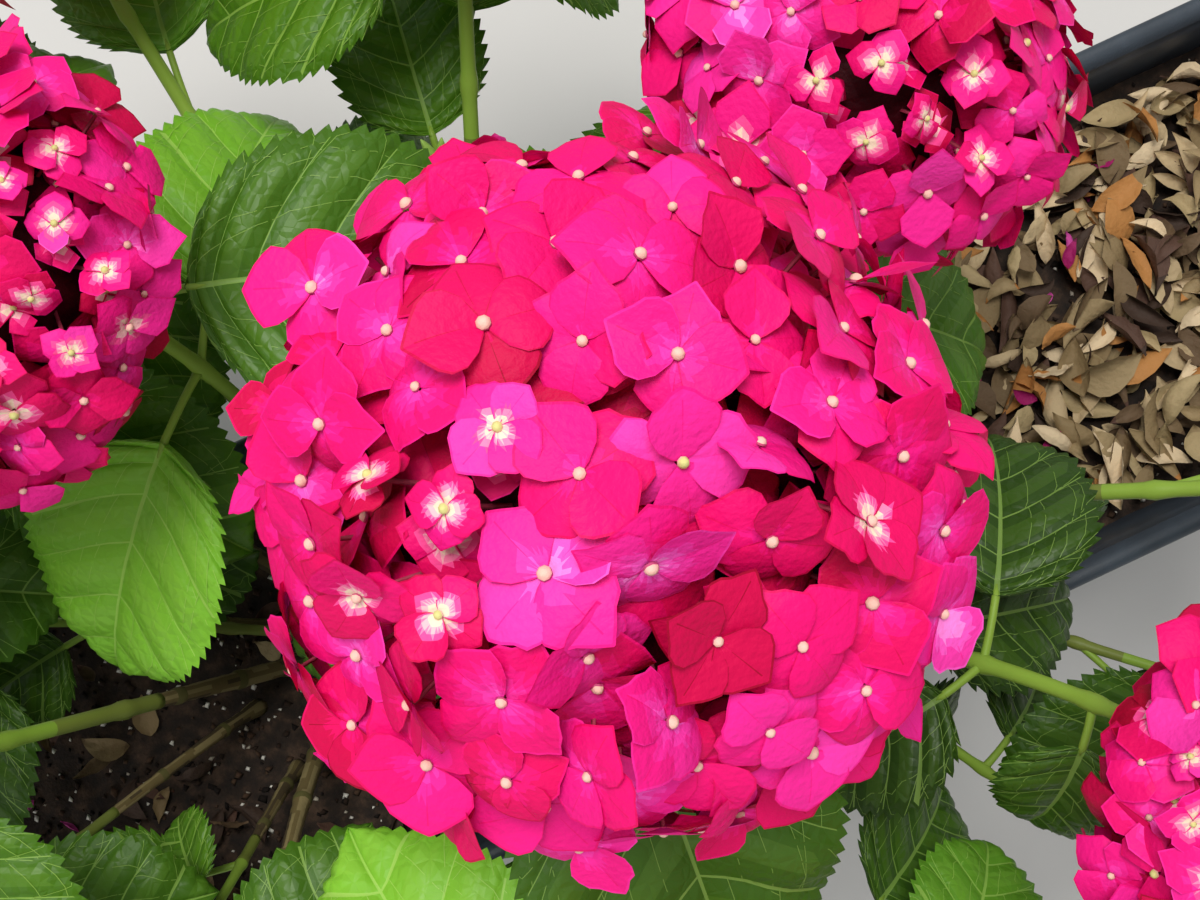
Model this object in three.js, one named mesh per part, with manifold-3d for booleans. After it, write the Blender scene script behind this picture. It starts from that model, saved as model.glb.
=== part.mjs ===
// A hydrangea shrub in a long trough planter.
// The trough holds a bed of potting soil. Canes rise from one clump in the soil, each cane carries
// a leafy shoot with pairs of broad leaves, and most shoots end in a large round flower head.
// Millimetres, +Z up. The origin is the centre of the trough's flat underside, +X runs along it.
import * as THREE from 'three';
import { mergeVertices } from 'three/addons/utils/BufferGeometryUtils.js';
import Module from 'manifold-3d';

const wasm = await Module();
wasm.setup();

// Trough and soil
const TROUGH_LENGTH = 1200;
const TROUGH_WIDTH = 300;
const TROUGH_HEIGHT = 280;
const TROUGH_CORNER = 16;
const CORNER_STEPS = 3;
const WALL = 12;
const FLOOR = 14;
const TAPER = 16; // how far each side draws in from rim to underside
const RIM_DEPTH = 26;
const RIM_PROUD = 4; // the rim band stands out from the wall by this much
const SOIL_DEPTH = 60; // soil surface below the rim
const GAP = 0.3; // clear gap between neighbouring pieces

// Canes and shoots
const CANE_FOOT_RADIUS = 6.5;
const CANE_TOP_RADIUS = 4.4;
const SHOOT_TOP_RADIUS = 3.2;
const ROOT_FLARE = 1.35;
const FLARE_SHARE = 0.06;
const CANE_SIDES = 5;
const CANE_RINGS = 5;
const SHOOT_SIDES = 4;
const SHOOT_RINGS = 5;
const FIRST_RISE = 0.36; // share of the span over which a cane first climbs
const LAST_RISE = 0.34; // share of the span over which it turns into its last lean
const CANE_SPLAY = 14; // degrees by which a cane leans out where it leaves the soil
const SIDE_SHOOT_GIRTH = 0.72; // a shoot without a flower head is this much thinner
const LEAFY_ABOVE = 12; // the leafy part runs on past its topmost pair
const LEAFY_BELOW = 26; // and past its lowest pair
const MOST_LEAFY = 0.86; // share of a stem that can be leafy
const CURVE_STEPS = 12;

// Leaves
const INTERNODE = 64; // distance between the two topmost pairs of a shoot with the usual blade
const INTERNODE_GROWTH = 1.16;
const USUAL_BLADE = 160;
const NODE_UNDER_HEAD = 0.72; // topmost pair below a flower head's middle, of the head's radius
const NODE_UNDER_LEAN = 0.45; // and more of it the more the head leans over
const NODE_UNDER_TIP = 14;
const PAIR_SIZES = [0.86, 1, 0.88, 0.7]; // leaf length by pair from the top, of the shoot's longest
const LEAF_WIDTH = 0.72; // width over length
const PETIOLE = 0.26; // stalk over blade length
const PETIOLE_RADIUS = 2.5;
const PETIOLE_PITCH = 24;
const BLADE_PITCH = 8;
const BLADE_BEND = 54; // degrees by which a blade arches over from base to tip
const PAIR_DROOP = [2, 6, 14, 20]; // degrees by which the leaves of each pair hang, from the top
const KEEL = 0.16; // how steeply the two halves rise from the midrib
const BLADE_THICKNESS = 3.4;
const BLADE_OUTLINE = [[0, 0], [0.24, 0.96], [0.68, 0.84], [1, 0]]; // along the blade, half width
const BLADE_CREST = 0.44;
const TURN_JITTER = 7;
const SIZE_JITTER = 0.06;
const PITCH_JITTER = 9;
const ROLL_JITTER = 14;
const LEAF_SEED = 1;

// Room that a leaf keeps
const LEAF_ROOM = 5;
const LIMB_ROOM = 5;
const STALK_ROOM = 3;
const HEAD_ROOM = 1.16;
const RIM_ROOM = 9;
const LOWEST_LEAF = 190;
const NODE_ROOM = 30; // own stem this near to a leaf's node is not in its way
const FAR_AWAY = 60; // a limb farther than a leaf's length and this needs no test
const FARTHEST_POINT = 0.62; // no part of a blade is farther from its crest, of its length
const SHEET_GROWTH = 1.05; // blades are tested a little larger than they are
const LIMB_STEPS = 14;
const GAP_STEPS = 6;
const TRIES = [
  { turn: 0, pitch: 0, size: 1 },
  { turn: 0, pitch: -9, size: 1 },
  { turn: 11, pitch: 5, size: 0.97 },
  { turn: -11, pitch: 5, size: 0.97 },
  { turn: 9, pitch: -16, size: 0.9 },
  { turn: -9, pitch: -16, size: 0.9 },
  { turn: 19, pitch: -6, size: 0.84 },
  { turn: -19, pitch: -6, size: 0.84 },
  { turn: 0, pitch: 14, size: 0.8 },
  { turn: 14, pitch: -26, size: 0.72 },
  { turn: -14, pitch: -26, size: 0.72 },
  { turn: 32, pitch: -8, size: 0.68 },
  { turn: -32, pitch: -8, size: 0.68 },
  { turn: 0, pitch: -36, size: 0.66 },
  { turn: 26, pitch: 18, size: 0.6 },
  { turn: -26, pitch: 18, size: 0.6 },
];
// One end of the trough stays bare: no leaf hangs over the soil there.
const BARE_END = { low: [284, -62], high: [600, 200] };
// Gaps in the crown, each a round shaft that opens upwards from the soil or the ground.
const SHAFT_TOP = new THREE.Vector3(50, -12, 1140);
const SHAFTS = [
  { foot: new THREE.Vector3(-264, 3, 220), radius: 42 },
  { foot: new THREE.Vector3(-207, -20, 220), radius: 42 },
  { foot: new THREE.Vector3(-113, -75, 220), radius: 22 },
  { foot: new THREE.Vector3(187, 375, 0), radius: 44 },
  { foot: new THREE.Vector3(428, -214, 0), radius: 44 },
  { foot: new THREE.Vector3(92, -302, 0), radius: 30 },
  { foot: new THREE.Vector3(265, -258, 0), radius: 24 },
];

// Flower heads
const HEAD_TOP = 0.8; // height of the dome above its widest level, of its radius
const HEAD_BOTTOM = 0.52;
const HEAD_SKIRT = 0.72; // depth to which the lowest florets hang
const CORE = 0.87; // solid middle, of the whole head
const FLORET_RADIUS = 28;
const FLORET_COVER = 2.1; // florets a head holds, over the square of head over floret radius
const FLORET_DEPTH = 0.2;
const FLORET_TILT = 16;
const FLORET_SEAT = 0.985; // florets lie on this share of the head
const FLORET_ROOT = 0.4;
const FLOWER_SEED = 101;
const CORE_SIDES = 9;
const CORE_RINGS = 6;
const LOWEST_FLORET = -0.62; // height of the lowest florets, from -1 below to 1 on top
const STALK_RADIUS = 3;

// Colours
const COLOURS = {
  trough: 0x464e56,
  soil: 0x1c120c,
  cane: 0x6d6a35,
  leaves: 0x44722a,
  flower: 0xe5298b,
};

// One entry a shoot. foot: where its cane leaves the soil. tip: middle of the flower head, or the
// growing tip of a shoot without one. head: radius of the flower head. lean: azimuth and tilt of the
// last stretch. blade: longest leaf. turns: azimuth of each leaf pair from the top down.
const SHOOTS = [
 { foot: [0, -14], tip: [64, 7, 720], head: 106, lean: [20, 10], blade: 176, turns: [172, 84, 176, 80] },
 { foot: [38, 32], tip: [228, 125, 590], head: 90, lean: [25, 34], blade: 150, turns: [66, 150, 70] },
 { foot: [-58, 34], tip: [-126, 192, 610], head: 90, lean: [176, 24], blade: 190, turns: [-20, 18, -50, 40] },
 { foot: [54, -34], tip: [246, -203, 594], head: 85, lean: [-66, 40], blade: 128, turns: [69, 41, 150] },
 { foot: [-156, -38], tip: [-225, -215, 565], head: 80, lean: [-110, 26], blade: 165, turns: [150, 62, 160] },
 { foot: [-120, -58], tip: [-45, -270, 605], head: 85, lean: [-75, 24], blade: 186, turns: [98, 8, 84] },
 { foot: [88, 4], tip: [405, -138, 550], head: 78, lean: [-24, 42], blade: 140, turns: [-70, 200, 110] },
 { foot: [8, 52], tip: [135, 320, 550], head: 80, lean: [62, 34], blade: 160, turns: [-22, 52, -38] },
 { foot: [-150, 10], tip: [-310, 45, 590], head: 85, lean: [168, 30], blade: 170, turns: [78, 170, 84] },
 { foot: [12, -62], tip: [110, -318, 535], head: 75, lean: [-70, 36], blade: 150, turns: [-160, 10, -80] },
 { foot: [-112, 36], tip: [-250, 308, 522], head: 78, lean: [118, 36], blade: 165, turns: [30, 112, 40] },
 { foot: [-30, 62], tip: [-55, 395, 500], head: 74, lean: [96, 44], blade: 155, turns: [160, 80, 170] },
 { foot: [-182, -50], tip: [-214, -96, 396], head: 0, lean: [-130, 20], blade: 88, turns: [-100, 170] },
 { foot: [100, -40], tip: [205, -232, 452], head: 0, lean: [-62, 34], blade: 112, turns: [125, 40, 130] },
 { foot: [120, -20], tip: [352, -240, 440], head: 0, lean: [-40, 40], blade: 130, turns: [-80, 10, -70] },
 { foot: [-190, -4], tip: [-372, -62, 452], head: 0, lean: [-160, 40], blade: 140, turns: [-100, 160, -110] },
 { foot: [70, 48], tip: [262, 240, 420], head: 0, lean: [50, 40], blade: 140, turns: [110, 30] },
 { foot: [-96, 4], tip: [-262, 96, 398], head: 0, lean: [160, 36], blade: 140, turns: [70, 160, 80] },
 { foot: [-60, -60], tip: [-150, -215, 418], head: 0, lean: [-110, 34], blade: 150, turns: [-70, -160, -60] },
 { foot: [-22, -66], tip: [30, -205, 436], head: 0, lean: [-88, 34], blade: 150, turns: [-130, -40, -120] },
 { foot: [-160, 40], tip: [-335, 165, 440], head: 0, lean: [146, 36], blade: 150, turns: [150, 60, 140] },
 { foot: [-76, 58], tip: [-135, 280, 410], head: 0, lean: [108, 38], blade: 140, turns: [100, 20, 110] },
 { foot: [56, 60], tip: [62, 215, 400], head: 0, lean: [84, 36], blade: 140, turns: [70, 150, 60] },
];

const radians = THREE.MathUtils.degToRad;
const UP = new THREE.Vector3(0, 0, 1);

// Every shoot draws from its own sequence, so a change to one leaves the others as they are.
function seededDraw(seed) {
  const SPREAD = 9781;
  const START = 5477;
  const STEP = 1664525;
  const SHIFT = 1013904223;
  const RANGE = 4294967296;
  let state = (seed * SPREAD + START) >>> 0;
  return () => {
    state = (Math.imul(state, STEP) + SHIFT) >>> 0;
    return state / RANGE;
  };
}

// A draw turned into a number from minus one to plus one.
function swing(draw) {
  return draw() * 2 - 1;
}

function heading(azimuth, pitch) {
  const level = Math.cos(radians(pitch));
  return new THREE.Vector3(
    Math.cos(radians(azimuth)) * level,
    Math.sin(radians(azimuth)) * level,
    Math.sin(radians(pitch)),
  );
}

// Solids

function weld(geometry) {
  const bare = geometry.index ? geometry.toNonIndexed() : geometry.clone();
  for (const name of Object.keys(bare.attributes)) {
    if (name !== 'position') bare.deleteAttribute(name);
  }
  return mergeVertices(bare, 1e-4);
}

function solidOf(geometry) {
  const welded = weld(geometry);
  return new wasm.Manifold(new wasm.Mesh({
    numProp: 3,
    vertProperties: Float32Array.from(welded.attributes.position.array),
    triVerts: Uint32Array.from(welded.index.array),
  }));
}

function geometryOf(solid) {
  const mesh = solid.getMesh();
  const geometry = new THREE.BufferGeometry();
  geometry.setAttribute('position', new THREE.BufferAttribute(mesh.vertProperties, 3));
  geometry.setIndex(new THREE.BufferAttribute(mesh.triVerts, 1));
  return geometry;
}

function fuse(geometries) {
  let whole = solidOf(geometries[0]);
  for (const geometry of geometries.slice(1)) whole = whole.add(solidOf(geometry));
  const largest = whole.decompose().sort((a, b) => b.volume() - a.volume())[0];
  return geometryOf(largest);
}

// A cylinder bent along a curve, with its radius given along the way.
function limb(curve, radiusAt, sides, rings, levelFoot = false) {
  const geometry = new THREE.CylinderGeometry(1, 1, 1, sides, rings);
  const position = geometry.attributes.position;
  const side = new THREE.Vector3();
  const across = new THREE.Vector3();
  const chord = curve.getPoint(1).sub(curve.getPoint(0)).normalize();
  const alongX = Math.abs(chord.x) > Math.SQRT1_2;
  const reference = alongX ? new THREE.Vector3(0, 1, 0) : new THREE.Vector3(1, 0, 0);
  for (let i = 0; i < position.count; i += 1) {
    const along = position.getY(i) + 0.5;
    const tangent = levelFoot && along < 1e-6 ? UP.clone() : curve.getTangentAt(along);
    side.crossVectors(tangent, reference).normalize();
    across.crossVectors(tangent, side);
    const radius = radiusAt(along);
    const point = curve.getPointAt(along)
      .addScaledVector(across, position.getX(i) * radius)
      .addScaledVector(side, position.getZ(i) * radius);
    position.setXYZ(i, point.x, point.y, point.z);
  }
  return geometry;
}

// Trough

function roundedTray(length, width, bottom, top, inset) {
  const x = length / 2 - TROUGH_CORNER;
  const y = width / 2 - TROUGH_CORNER;
  const outline = new THREE.Shape();
  outline.absarc(x, y, TROUGH_CORNER, 0, Math.PI / 2, false);
  outline.absarc(-x, y, TROUGH_CORNER, Math.PI / 2, Math.PI, false);
  outline.absarc(-x, -y, TROUGH_CORNER, Math.PI, Math.PI * 1.5, false);
  outline.absarc(x, -y, TROUGH_CORNER, Math.PI * 1.5, Math.PI * 2, false);
  const geometry = new THREE.ExtrudeGeometry(outline, {
    depth: top - bottom, bevelEnabled: false, curveSegments: CORNER_STEPS,
  });
  geometry.translate(0, 0, bottom);
  return drawIn(geometry, inset);
}

// Moves every point in towards the middle, the more the lower it lies, as the trough's walls slope.
function drawIn(geometry, inset) {
  const position = geometry.attributes.position;
  for (let i = 0; i < position.count; i += 1) {
    const slope = inset + TAPER * (1 - position.getZ(i) / TROUGH_HEIGHT);
    position.setX(i, position.getX(i) - Math.sign(position.getX(i)) * slope);
    position.setY(i, position.getY(i) - Math.sign(position.getY(i)) * slope);
  }
  return geometry;
}

function troughGeometry() {
  const outside = roundedTray(TROUGH_LENGTH, TROUGH_WIDTH, 0, TROUGH_HEIGHT - RIM_DEPTH / 2, RIM_PROUD);
  const band = roundedTray(TROUGH_LENGTH, TROUGH_WIDTH, TROUGH_HEIGHT - RIM_DEPTH, TROUGH_HEIGHT, 0);
  const inside = roundedTray(TROUGH_LENGTH, TROUGH_WIDTH, FLOOR, TROUGH_HEIGHT + WALL, RIM_PROUD + WALL);
  return geometryOf(solidOf(outside).add(solidOf(band)).subtract(solidOf(inside)));
}

function soilGeometry() {
  const top = TROUGH_HEIGHT - SOIL_DEPTH;
  return roundedTray(TROUGH_LENGTH, TROUGH_WIDTH, FLOOR + GAP, top, RIM_PROUD + WALL + GAP);
}

// Shoots

function stemCurve(shoot) {
  const foot = new THREE.Vector3(...shoot.foot, TROUGH_HEIGHT - SOIL_DEPTH + GAP);
  const tip = new THREE.Vector3(...shoot.tip);
  const span = tip.distanceTo(foot);
  const plan = THREE.MathUtils.radToDeg(Math.atan2(tip.y - foot.y, tip.x - foot.x));
  const rise = heading(plan, 90 - CANE_SPLAY).multiplyScalar(span * FIRST_RISE);
  const lean = heading(shoot.lean[0], 90 - shoot.lean[1]).multiplyScalar(span * LAST_RISE);
  return new THREE.CubicBezierCurve3(foot, foot.clone().add(rise), tip.clone().sub(lean), tip);
}

function subCurve(curve, from, to) {
  const points = [];
  for (let i = 0; i <= CURVE_STEPS; i += 1) {
    points.push(curve.getPointAt(from + (to - from) * (i / CURVE_STEPS)));
  }
  return new THREE.CatmullRomCurve3(points);
}

// Distances along the stem, from the tip down, of the leaf pairs and of both ends of the leafy part.
function plan(shoot, index) {
  const curve = stemCurve(shoot);
  const length = curve.getLength();
  const underHead = shoot.head * (NODE_UNDER_HEAD + NODE_UNDER_LEAN * Math.sin(radians(shoot.lean[1])));
  const topNode = shoot.head > 0 ? underHead : NODE_UNDER_TIP;
  const nodes = [];
  let down = topNode;
  let step = INTERNODE * Math.sqrt(shoot.blade / USUAL_BLADE);
  for (let pair = 0; pair < shoot.turns.length; pair += 1) {
    nodes.push(down);
    down += step;
    step *= INTERNODE_GROWTH;
  }
  const lowest = nodes[nodes.length - 1];
  return {
    ...shoot,
    index,
    curve,
    length,
    nodes,
    top: shoot.head > 0 ? topNode - LEAFY_ABOVE : 0,
    bottom: Math.min(lowest + LEAFY_BELOW, length * MOST_LEAFY),
  };
}

function stemRadius(shoot, along) {
  const bottomShare = 1 - shoot.bottom / shoot.length;
  const scale = shoot.head > 0 ? 1 : SIDE_SHOOT_GIRTH;
  if (along < FLARE_SHARE) {
    const flare = 1 + (ROOT_FLARE - 1) * (1 - along / FLARE_SHARE);
    return CANE_FOOT_RADIUS * flare * scale;
  }
  if (along < bottomShare) {
    return THREE.MathUtils.lerp(CANE_FOOT_RADIUS, CANE_TOP_RADIUS, along / bottomShare) * scale;
  }
  const upper = (along - bottomShare) / (1 - bottomShare);
  return THREE.MathUtils.lerp(CANE_TOP_RADIUS, SHOOT_TOP_RADIUS, upper) * scale;
}

function caneGeometry(shoot) {
  const end = 1 - shoot.bottom / shoot.length;
  const curve = subCurve(shoot.curve, 0, end);
  return limb(curve, (along) => stemRadius(shoot, along * end), CANE_SIDES, CANE_RINGS, true);
}

// Leaves

// A place on a blade: how far along it, and how far out from its midrib, as shares of its size.
function bladePoint(leaf, along, out, lift = 0) {
  const bend = radians(BLADE_BEND) / leaf.length;
  const start = radians(leaf.pitch);
  const pitch = start - bend * leaf.length * along;
  const level = (Math.sin(start) - Math.sin(pitch)) / bend;
  const height = (Math.cos(pitch) - Math.cos(start)) / bend;
  const forward = heading(leaf.azimuth, 0);
  const aside = new THREE.Vector3().crossVectors(UP, forward);
  const normal = forward.clone().multiplyScalar(-Math.sin(pitch)).addScaledVector(UP, Math.cos(pitch));
  const half = out * leaf.length * LEAF_WIDTH / 2;
  const rise = KEEL * Math.abs(half) + Math.sin(radians(leaf.roll)) * half + lift;
  return leaf.base.clone()
    .addScaledVector(forward, level)
    .addScaledVector(UP, height)
    .addScaledVector(aside, half * Math.cos(radians(leaf.roll)))
    .addScaledVector(normal, rise);
}

function placeLeaf(shoot, distance, { azimuth, length, pitch, roll }) {
  const node = shoot.curve.getPointAt(1 - distance / shoot.length);
  const stalk = heading(azimuth, PETIOLE_PITCH + pitch).multiplyScalar(length * PETIOLE);
  const base = node.clone().add(stalk);
  const owner = shoot.index;
  const leaf = { owner, distance, node, base, azimuth, length, pitch: BLADE_PITCH + pitch, roll };
  const rim = [];
  for (const [along, out] of BLADE_OUTLINE) rim.push(bladePoint(leaf, along, out));
  for (const [along, out] of BLADE_OUTLINE.slice(1, -1).reverse()) rim.push(bladePoint(leaf, along, -out));
  leaf.rim = rim;
  leaf.crest = bladePoint(leaf, BLADE_CREST, 0);
  return leaf;
}

// A four-sided cone bent to a leaf: its foot in the stem, one ring where the stalk meets the blade,
// two rings pressed flat across the blade, and its point the leaf's tip.
function leafGeometry(leaf) {
  const rings = BLADE_OUTLINE.length;
  const geometry = new THREE.ConeGeometry(1, 1, 4, rings);
  const position = geometry.attributes.position;
  for (let i = 0; i < position.count; i += 1) {
    const ring = Math.round((position.getY(i) + 0.5) * rings);
    const around = new THREE.Vector2(position.getX(i), position.getZ(i));
    const reach = around.length();
    const out = reach < 1e-6 ? 0 : -Math.round(around.x / reach);
    const lift = reach < 1e-6 ? 0 : Math.round(around.y / reach);
    const point = leafPoint(leaf, ring, out, lift);
    position.setXYZ(i, point.x, point.y, point.z);
  }
  return geometry;
}

function leafPoint(leaf, ring, out, lift) {
  if (ring > 1) {
    const [along, half] = BLADE_OUTLINE[ring - 1];
    const thick = ring < BLADE_OUTLINE.length ? lift * BLADE_THICKNESS / 2 : 0;
    return bladePoint(leaf, along, out * half, thick);
  }
  const aside = new THREE.Vector3().crossVectors(UP, heading(leaf.azimuth, 0));
  const way = leaf.base.clone().sub(leaf.node).normalize();
  const normal = new THREE.Vector3().crossVectors(way, aside);
  const centre = ring === 0 ? leaf.node : leaf.base;
  return centre.clone()
    .addScaledVector(aside, out * PETIOLE_RADIUS)
    .addScaledVector(normal, lift * PETIOLE_RADIUS);
}

// Room between leaves, limbs and flower heads

// A blade as triangles round its crest, moved along its normal by the shift.
function sheet(leaf, shift) {
  const [base, left, , tip, , right] = leaf.rim;
  const across = left.clone().sub(right);
  const normal = new THREE.Vector3().crossVectors(across, tip.clone().sub(base)).normalize();
  const move = (point) => point.clone().sub(leaf.crest).multiplyScalar(SHEET_GROWTH).add(leaf.crest)
    .addScaledVector(normal, shift);
  return leaf.rim.map((point, i) => {
    const next = leaf.rim[(i + 1) % leaf.rim.length];
    return [move(leaf.crest), move(point), move(next)];
  });
}

// True where the line from start to end passes through the triangle.
function pierces(start, end, triangle) {
  const [a, b, c] = triangle;
  const way = end.clone().sub(start);
  const ab = b.clone().sub(a);
  const ac = c.clone().sub(a);
  const cross = new THREE.Vector3().crossVectors(way, ac);
  const scale = ab.dot(cross);
  if (Math.abs(scale) < 1e-9) return false;
  const reach = start.clone().sub(a);
  const u = reach.dot(cross) / scale;
  if (u < 0 || u > 1) return false;
  const turn = new THREE.Vector3().crossVectors(reach, ab);
  const v = way.dot(turn) / scale;
  if (v < 0 || u + v > 1) return false;
  const t = ac.dot(turn) / scale;
  return t >= 0 && t <= 1;
}

function sheetsCross(one, other) {
  for (const [a, b, c] of one) {
    for (const triangle of other) {
      if (pierces(a, b, triangle) || pierces(b, c, triangle)) return true;
    }
  }
  return false;
}

function leavesMeet(one, other) {
  if (one.crest.distanceTo(other.crest) > (one.length + other.length) * FARTHEST_POINT) return false;
  const still = sheet(other, 0);
  for (const shift of [-LEAF_ROOM, 0, LEAF_ROOM]) {
    const moved = sheet(one, shift);
    if (sheetsCross(moved, still) || sheetsCross(still, moved)) return true;
  }
  return stalksMeet(one, other) || stalkMeets(one, other) || stalkMeets(other, one);
}

function stalksMeet(one, other) {
  if (one.owner === other.owner) return false;
  return segmentGap(one.node, one.base, other.node, other.base) < 2 * PETIOLE_RADIUS + STALK_ROOM;
}

function stalkMeets(one, other) {
  const brushed = sheet(other, 0).some(([, from, to]) => (
    segmentGap(from, to, one.node, one.base) < PETIOLE_RADIUS + STALK_ROOM
  ));
  return brushed || [-LEAF_ROOM, 0, LEAF_ROOM].some((shift) => (
    sheet(other, shift).some((triangle) => pierces(one.node, one.base, triangle))
  ));
}

function segmentGap(a, b, c, d) {
  const line = new THREE.Line3(c, d);
  let least = Infinity;
  for (let i = 0; i <= GAP_STEPS; i += 1) {
    const point = a.clone().lerp(b, i / GAP_STEPS);
    least = Math.min(least, line.closestPointToPoint(point, true, new THREE.Vector3()).distanceTo(point));
  }
  return least;
}

function meetsLimb(leaf, shoot, limbLine) {
  for (const [from, to, radius, distance] of limbLine) {
    const own = shoot.index === leaf.owner;
    const nearNode = own && Math.abs(distance - leaf.distance) < NODE_ROOM;
    if (nearNode || leaf.crest.distanceTo(from) > leaf.length + FAR_AWAY) continue;
    for (const shift of [-LIMB_ROOM, 0, LIMB_ROOM]) {
      if (sheet(leaf, shift).some((triangle) => pierces(from, to, triangle))) return true;
    }
    for (const triangle of sheet(leaf, 0)) {
      if (segmentGap(triangle[1], triangle[2], from, to) < radius + LIMB_ROOM) return true;
    }
    if (!own && segmentGap(leaf.node, leaf.base, from, to) < radius + LIMB_ROOM) return true;
  }
  return false;
}

function meetsHead(leaf, shoot) {
  if (shoot.head === 0) return false;
  const centre = new THREE.Vector3(...shoot.tip);
  const axis = heading(shoot.lean[0], 90 - shoot.lean[1]);
  const inside = (point) => {
    const from = point.clone().sub(centre);
    const height = from.dot(axis);
    const level = Math.sqrt(Math.max(from.lengthSq() - height * height, 0));
    const reach = height > 0 ? HEAD_TOP : HEAD_SKIRT;
    return Math.hypot(level, height / reach) < shoot.head * HEAD_ROOM;
  };
  return inside(leaf.node.clone().lerp(leaf.base, 0.5)) || placesOn(leaf).some(inside);
}

function placesOn(leaf) {
  const places = [leaf.crest, ...leaf.rim];
  for (let i = 0; i < leaf.rim.length; i += 1) {
    places.push(leaf.rim[i].clone().lerp(leaf.crest, 0.5));
    places.push(leaf.rim[i].clone().lerp(leaf.rim[(i + 1) % leaf.rim.length], 0.5));
  }
  return places;
}

// A leaf stays above the trough's rim, or hangs down past the outside of it, but not to the ground.
function leavesItsSpace(leaf) {
  return placesOn(leaf).some((point) => (
    point.z < LOWEST_LEAF || inTrough(point) || overBareEnd(point)
      || SHAFTS.some((shaft) => inShaft(point, shaft))
  ));
}

function inTrough(point) {
  return Math.abs(point.x) < TROUGH_LENGTH / 2 + RIM_ROOM
    && Math.abs(point.y) < TROUGH_WIDTH / 2 + RIM_ROOM
    && point.z < TROUGH_HEIGHT + RIM_ROOM;
}

function overBareEnd(point) {
  const { low, high } = BARE_END;
  return point.x > low[0] && point.x < high[0] && point.y > low[1] && point.y < high[1];
}

// A shaft narrows towards its top, as sight lines that meet there do.
function inShaft(point, shaft) {
  const share = (point.z - shaft.foot.z) / (SHAFT_TOP.z - shaft.foot.z);
  const axis = shaft.foot.clone().lerp(SHAFT_TOP, share);
  return point.distanceTo(axis) < shaft.radius * (1 - share);
}

function limbLineOf(shoot) {
  const line = [];
  for (let i = 0; i < LIMB_STEPS; i += 1) {
    const from = shoot.curve.getPointAt(i / LIMB_STEPS);
    const to = shoot.curve.getPointAt((i + 1) / LIMB_STEPS);
    const middle = (i + 0.5) / LIMB_STEPS;
    line.push([from, to, stemRadius(shoot, middle), (1 - middle) * shoot.length]);
  }
  return line;
}

// Leaves are placed pair by pair from the tips down, so the upper and larger ones come first.
function growLeaves(shoots) {
  const lines = shoots.map(limbLineOf);
  const draws = shoots.map((shoot) => seededDraw(shoot.index + LEAF_SEED));
  const mostPairs = Math.max(...shoots.map((shoot) => shoot.turns.length));
  const grown = [];
  for (let pair = 0; pair < mostPairs; pair += 1) {
    for (const shoot of shoots) {
      if (pair >= shoot.turns.length) continue;
      for (const half of [0, 180]) {
        const wish = wishedLeaf(shoot, pair, half, draws[shoot.index]);
        const leaf = firstThatFits(shoot, pair, wish, grown, shoots, lines);
        if (leaf) grown.push(leaf);
      }
    }
  }
  return grown;
}

function wishedLeaf(shoot, pair, half, draw) {
  return {
    azimuth: shoot.turns[pair] + half + swing(draw) * TURN_JITTER,
    length: shoot.blade * PAIR_SIZES[pair] * (1 + swing(draw) * SIZE_JITTER),
    pitch: swing(draw) * PITCH_JITTER - PAIR_DROOP[pair],
    roll: swing(draw) * ROLL_JITTER,
  };
}

function firstThatFits(shoot, pair, wish, others, shoots, lines) {
  const distance = shoot.nodes[pair];
  if (distance > shoot.bottom - LEAFY_ABOVE) return null;
  for (const { turn, pitch, size } of TRIES) {
    const leaf = placeLeaf(shoot, distance, {
      azimuth: wish.azimuth + turn,
      length: wish.length * size,
      pitch: wish.pitch + pitch,
      roll: wish.roll,
    });
    const fits = !leavesItsSpace(leaf)
      && !shoots.some((other) => meetsHead(leaf, other))
      && !others.some((other) => leavesMeet(leaf, other))
      && !shoots.some((other) => meetsLimb(leaf, other, lines[other.index]));
    if (fits) return leaf;
  }
  return null;
}

function leafyShootGeometry(shoot, leaves) {
  const from = 1 - shoot.bottom / shoot.length + GAP / shoot.length;
  const to = 1 - shoot.top / shoot.length;
  const radiusAt = (along) => stemRadius(shoot, from + (to - from) * along);
  const pieces = [limb(subCurve(shoot.curve, from, to), radiusAt, SHOOT_SIDES, SHOOT_RINGS)];
  for (const leaf of leaves) pieces.push(leafGeometry(leaf));
  return fuse(pieces);
}

// Flower heads

function onHead(shoot, direction, share) {
  const axis = heading(shoot.lean[0], 90 - shoot.lean[1]);
  const tilt = new THREE.Quaternion().setFromUnitVectors(UP, axis);
  const reach = direction.z > 0 ? HEAD_TOP : HEAD_BOTTOM;
  const point = new THREE.Vector3(direction.x, direction.y, direction.z * reach);
  return point.multiplyScalar(shoot.head * share).applyQuaternion(tilt).add(new THREE.Vector3(...shoot.tip));
}

function coreGeometry(shoot) {
  const geometry = new THREE.SphereGeometry(1, CORE_SIDES, CORE_RINGS);
  geometry.rotateX(Math.PI / 2);
  const position = geometry.attributes.position;
  for (let i = 0; i < position.count; i += 1) {
    const direction = new THREE.Vector3().fromBufferAttribute(position, i);
    const point = onHead(shoot, direction, CORE);
    position.setXYZ(i, point.x, point.y, point.z);
  }
  return geometry;
}

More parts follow.
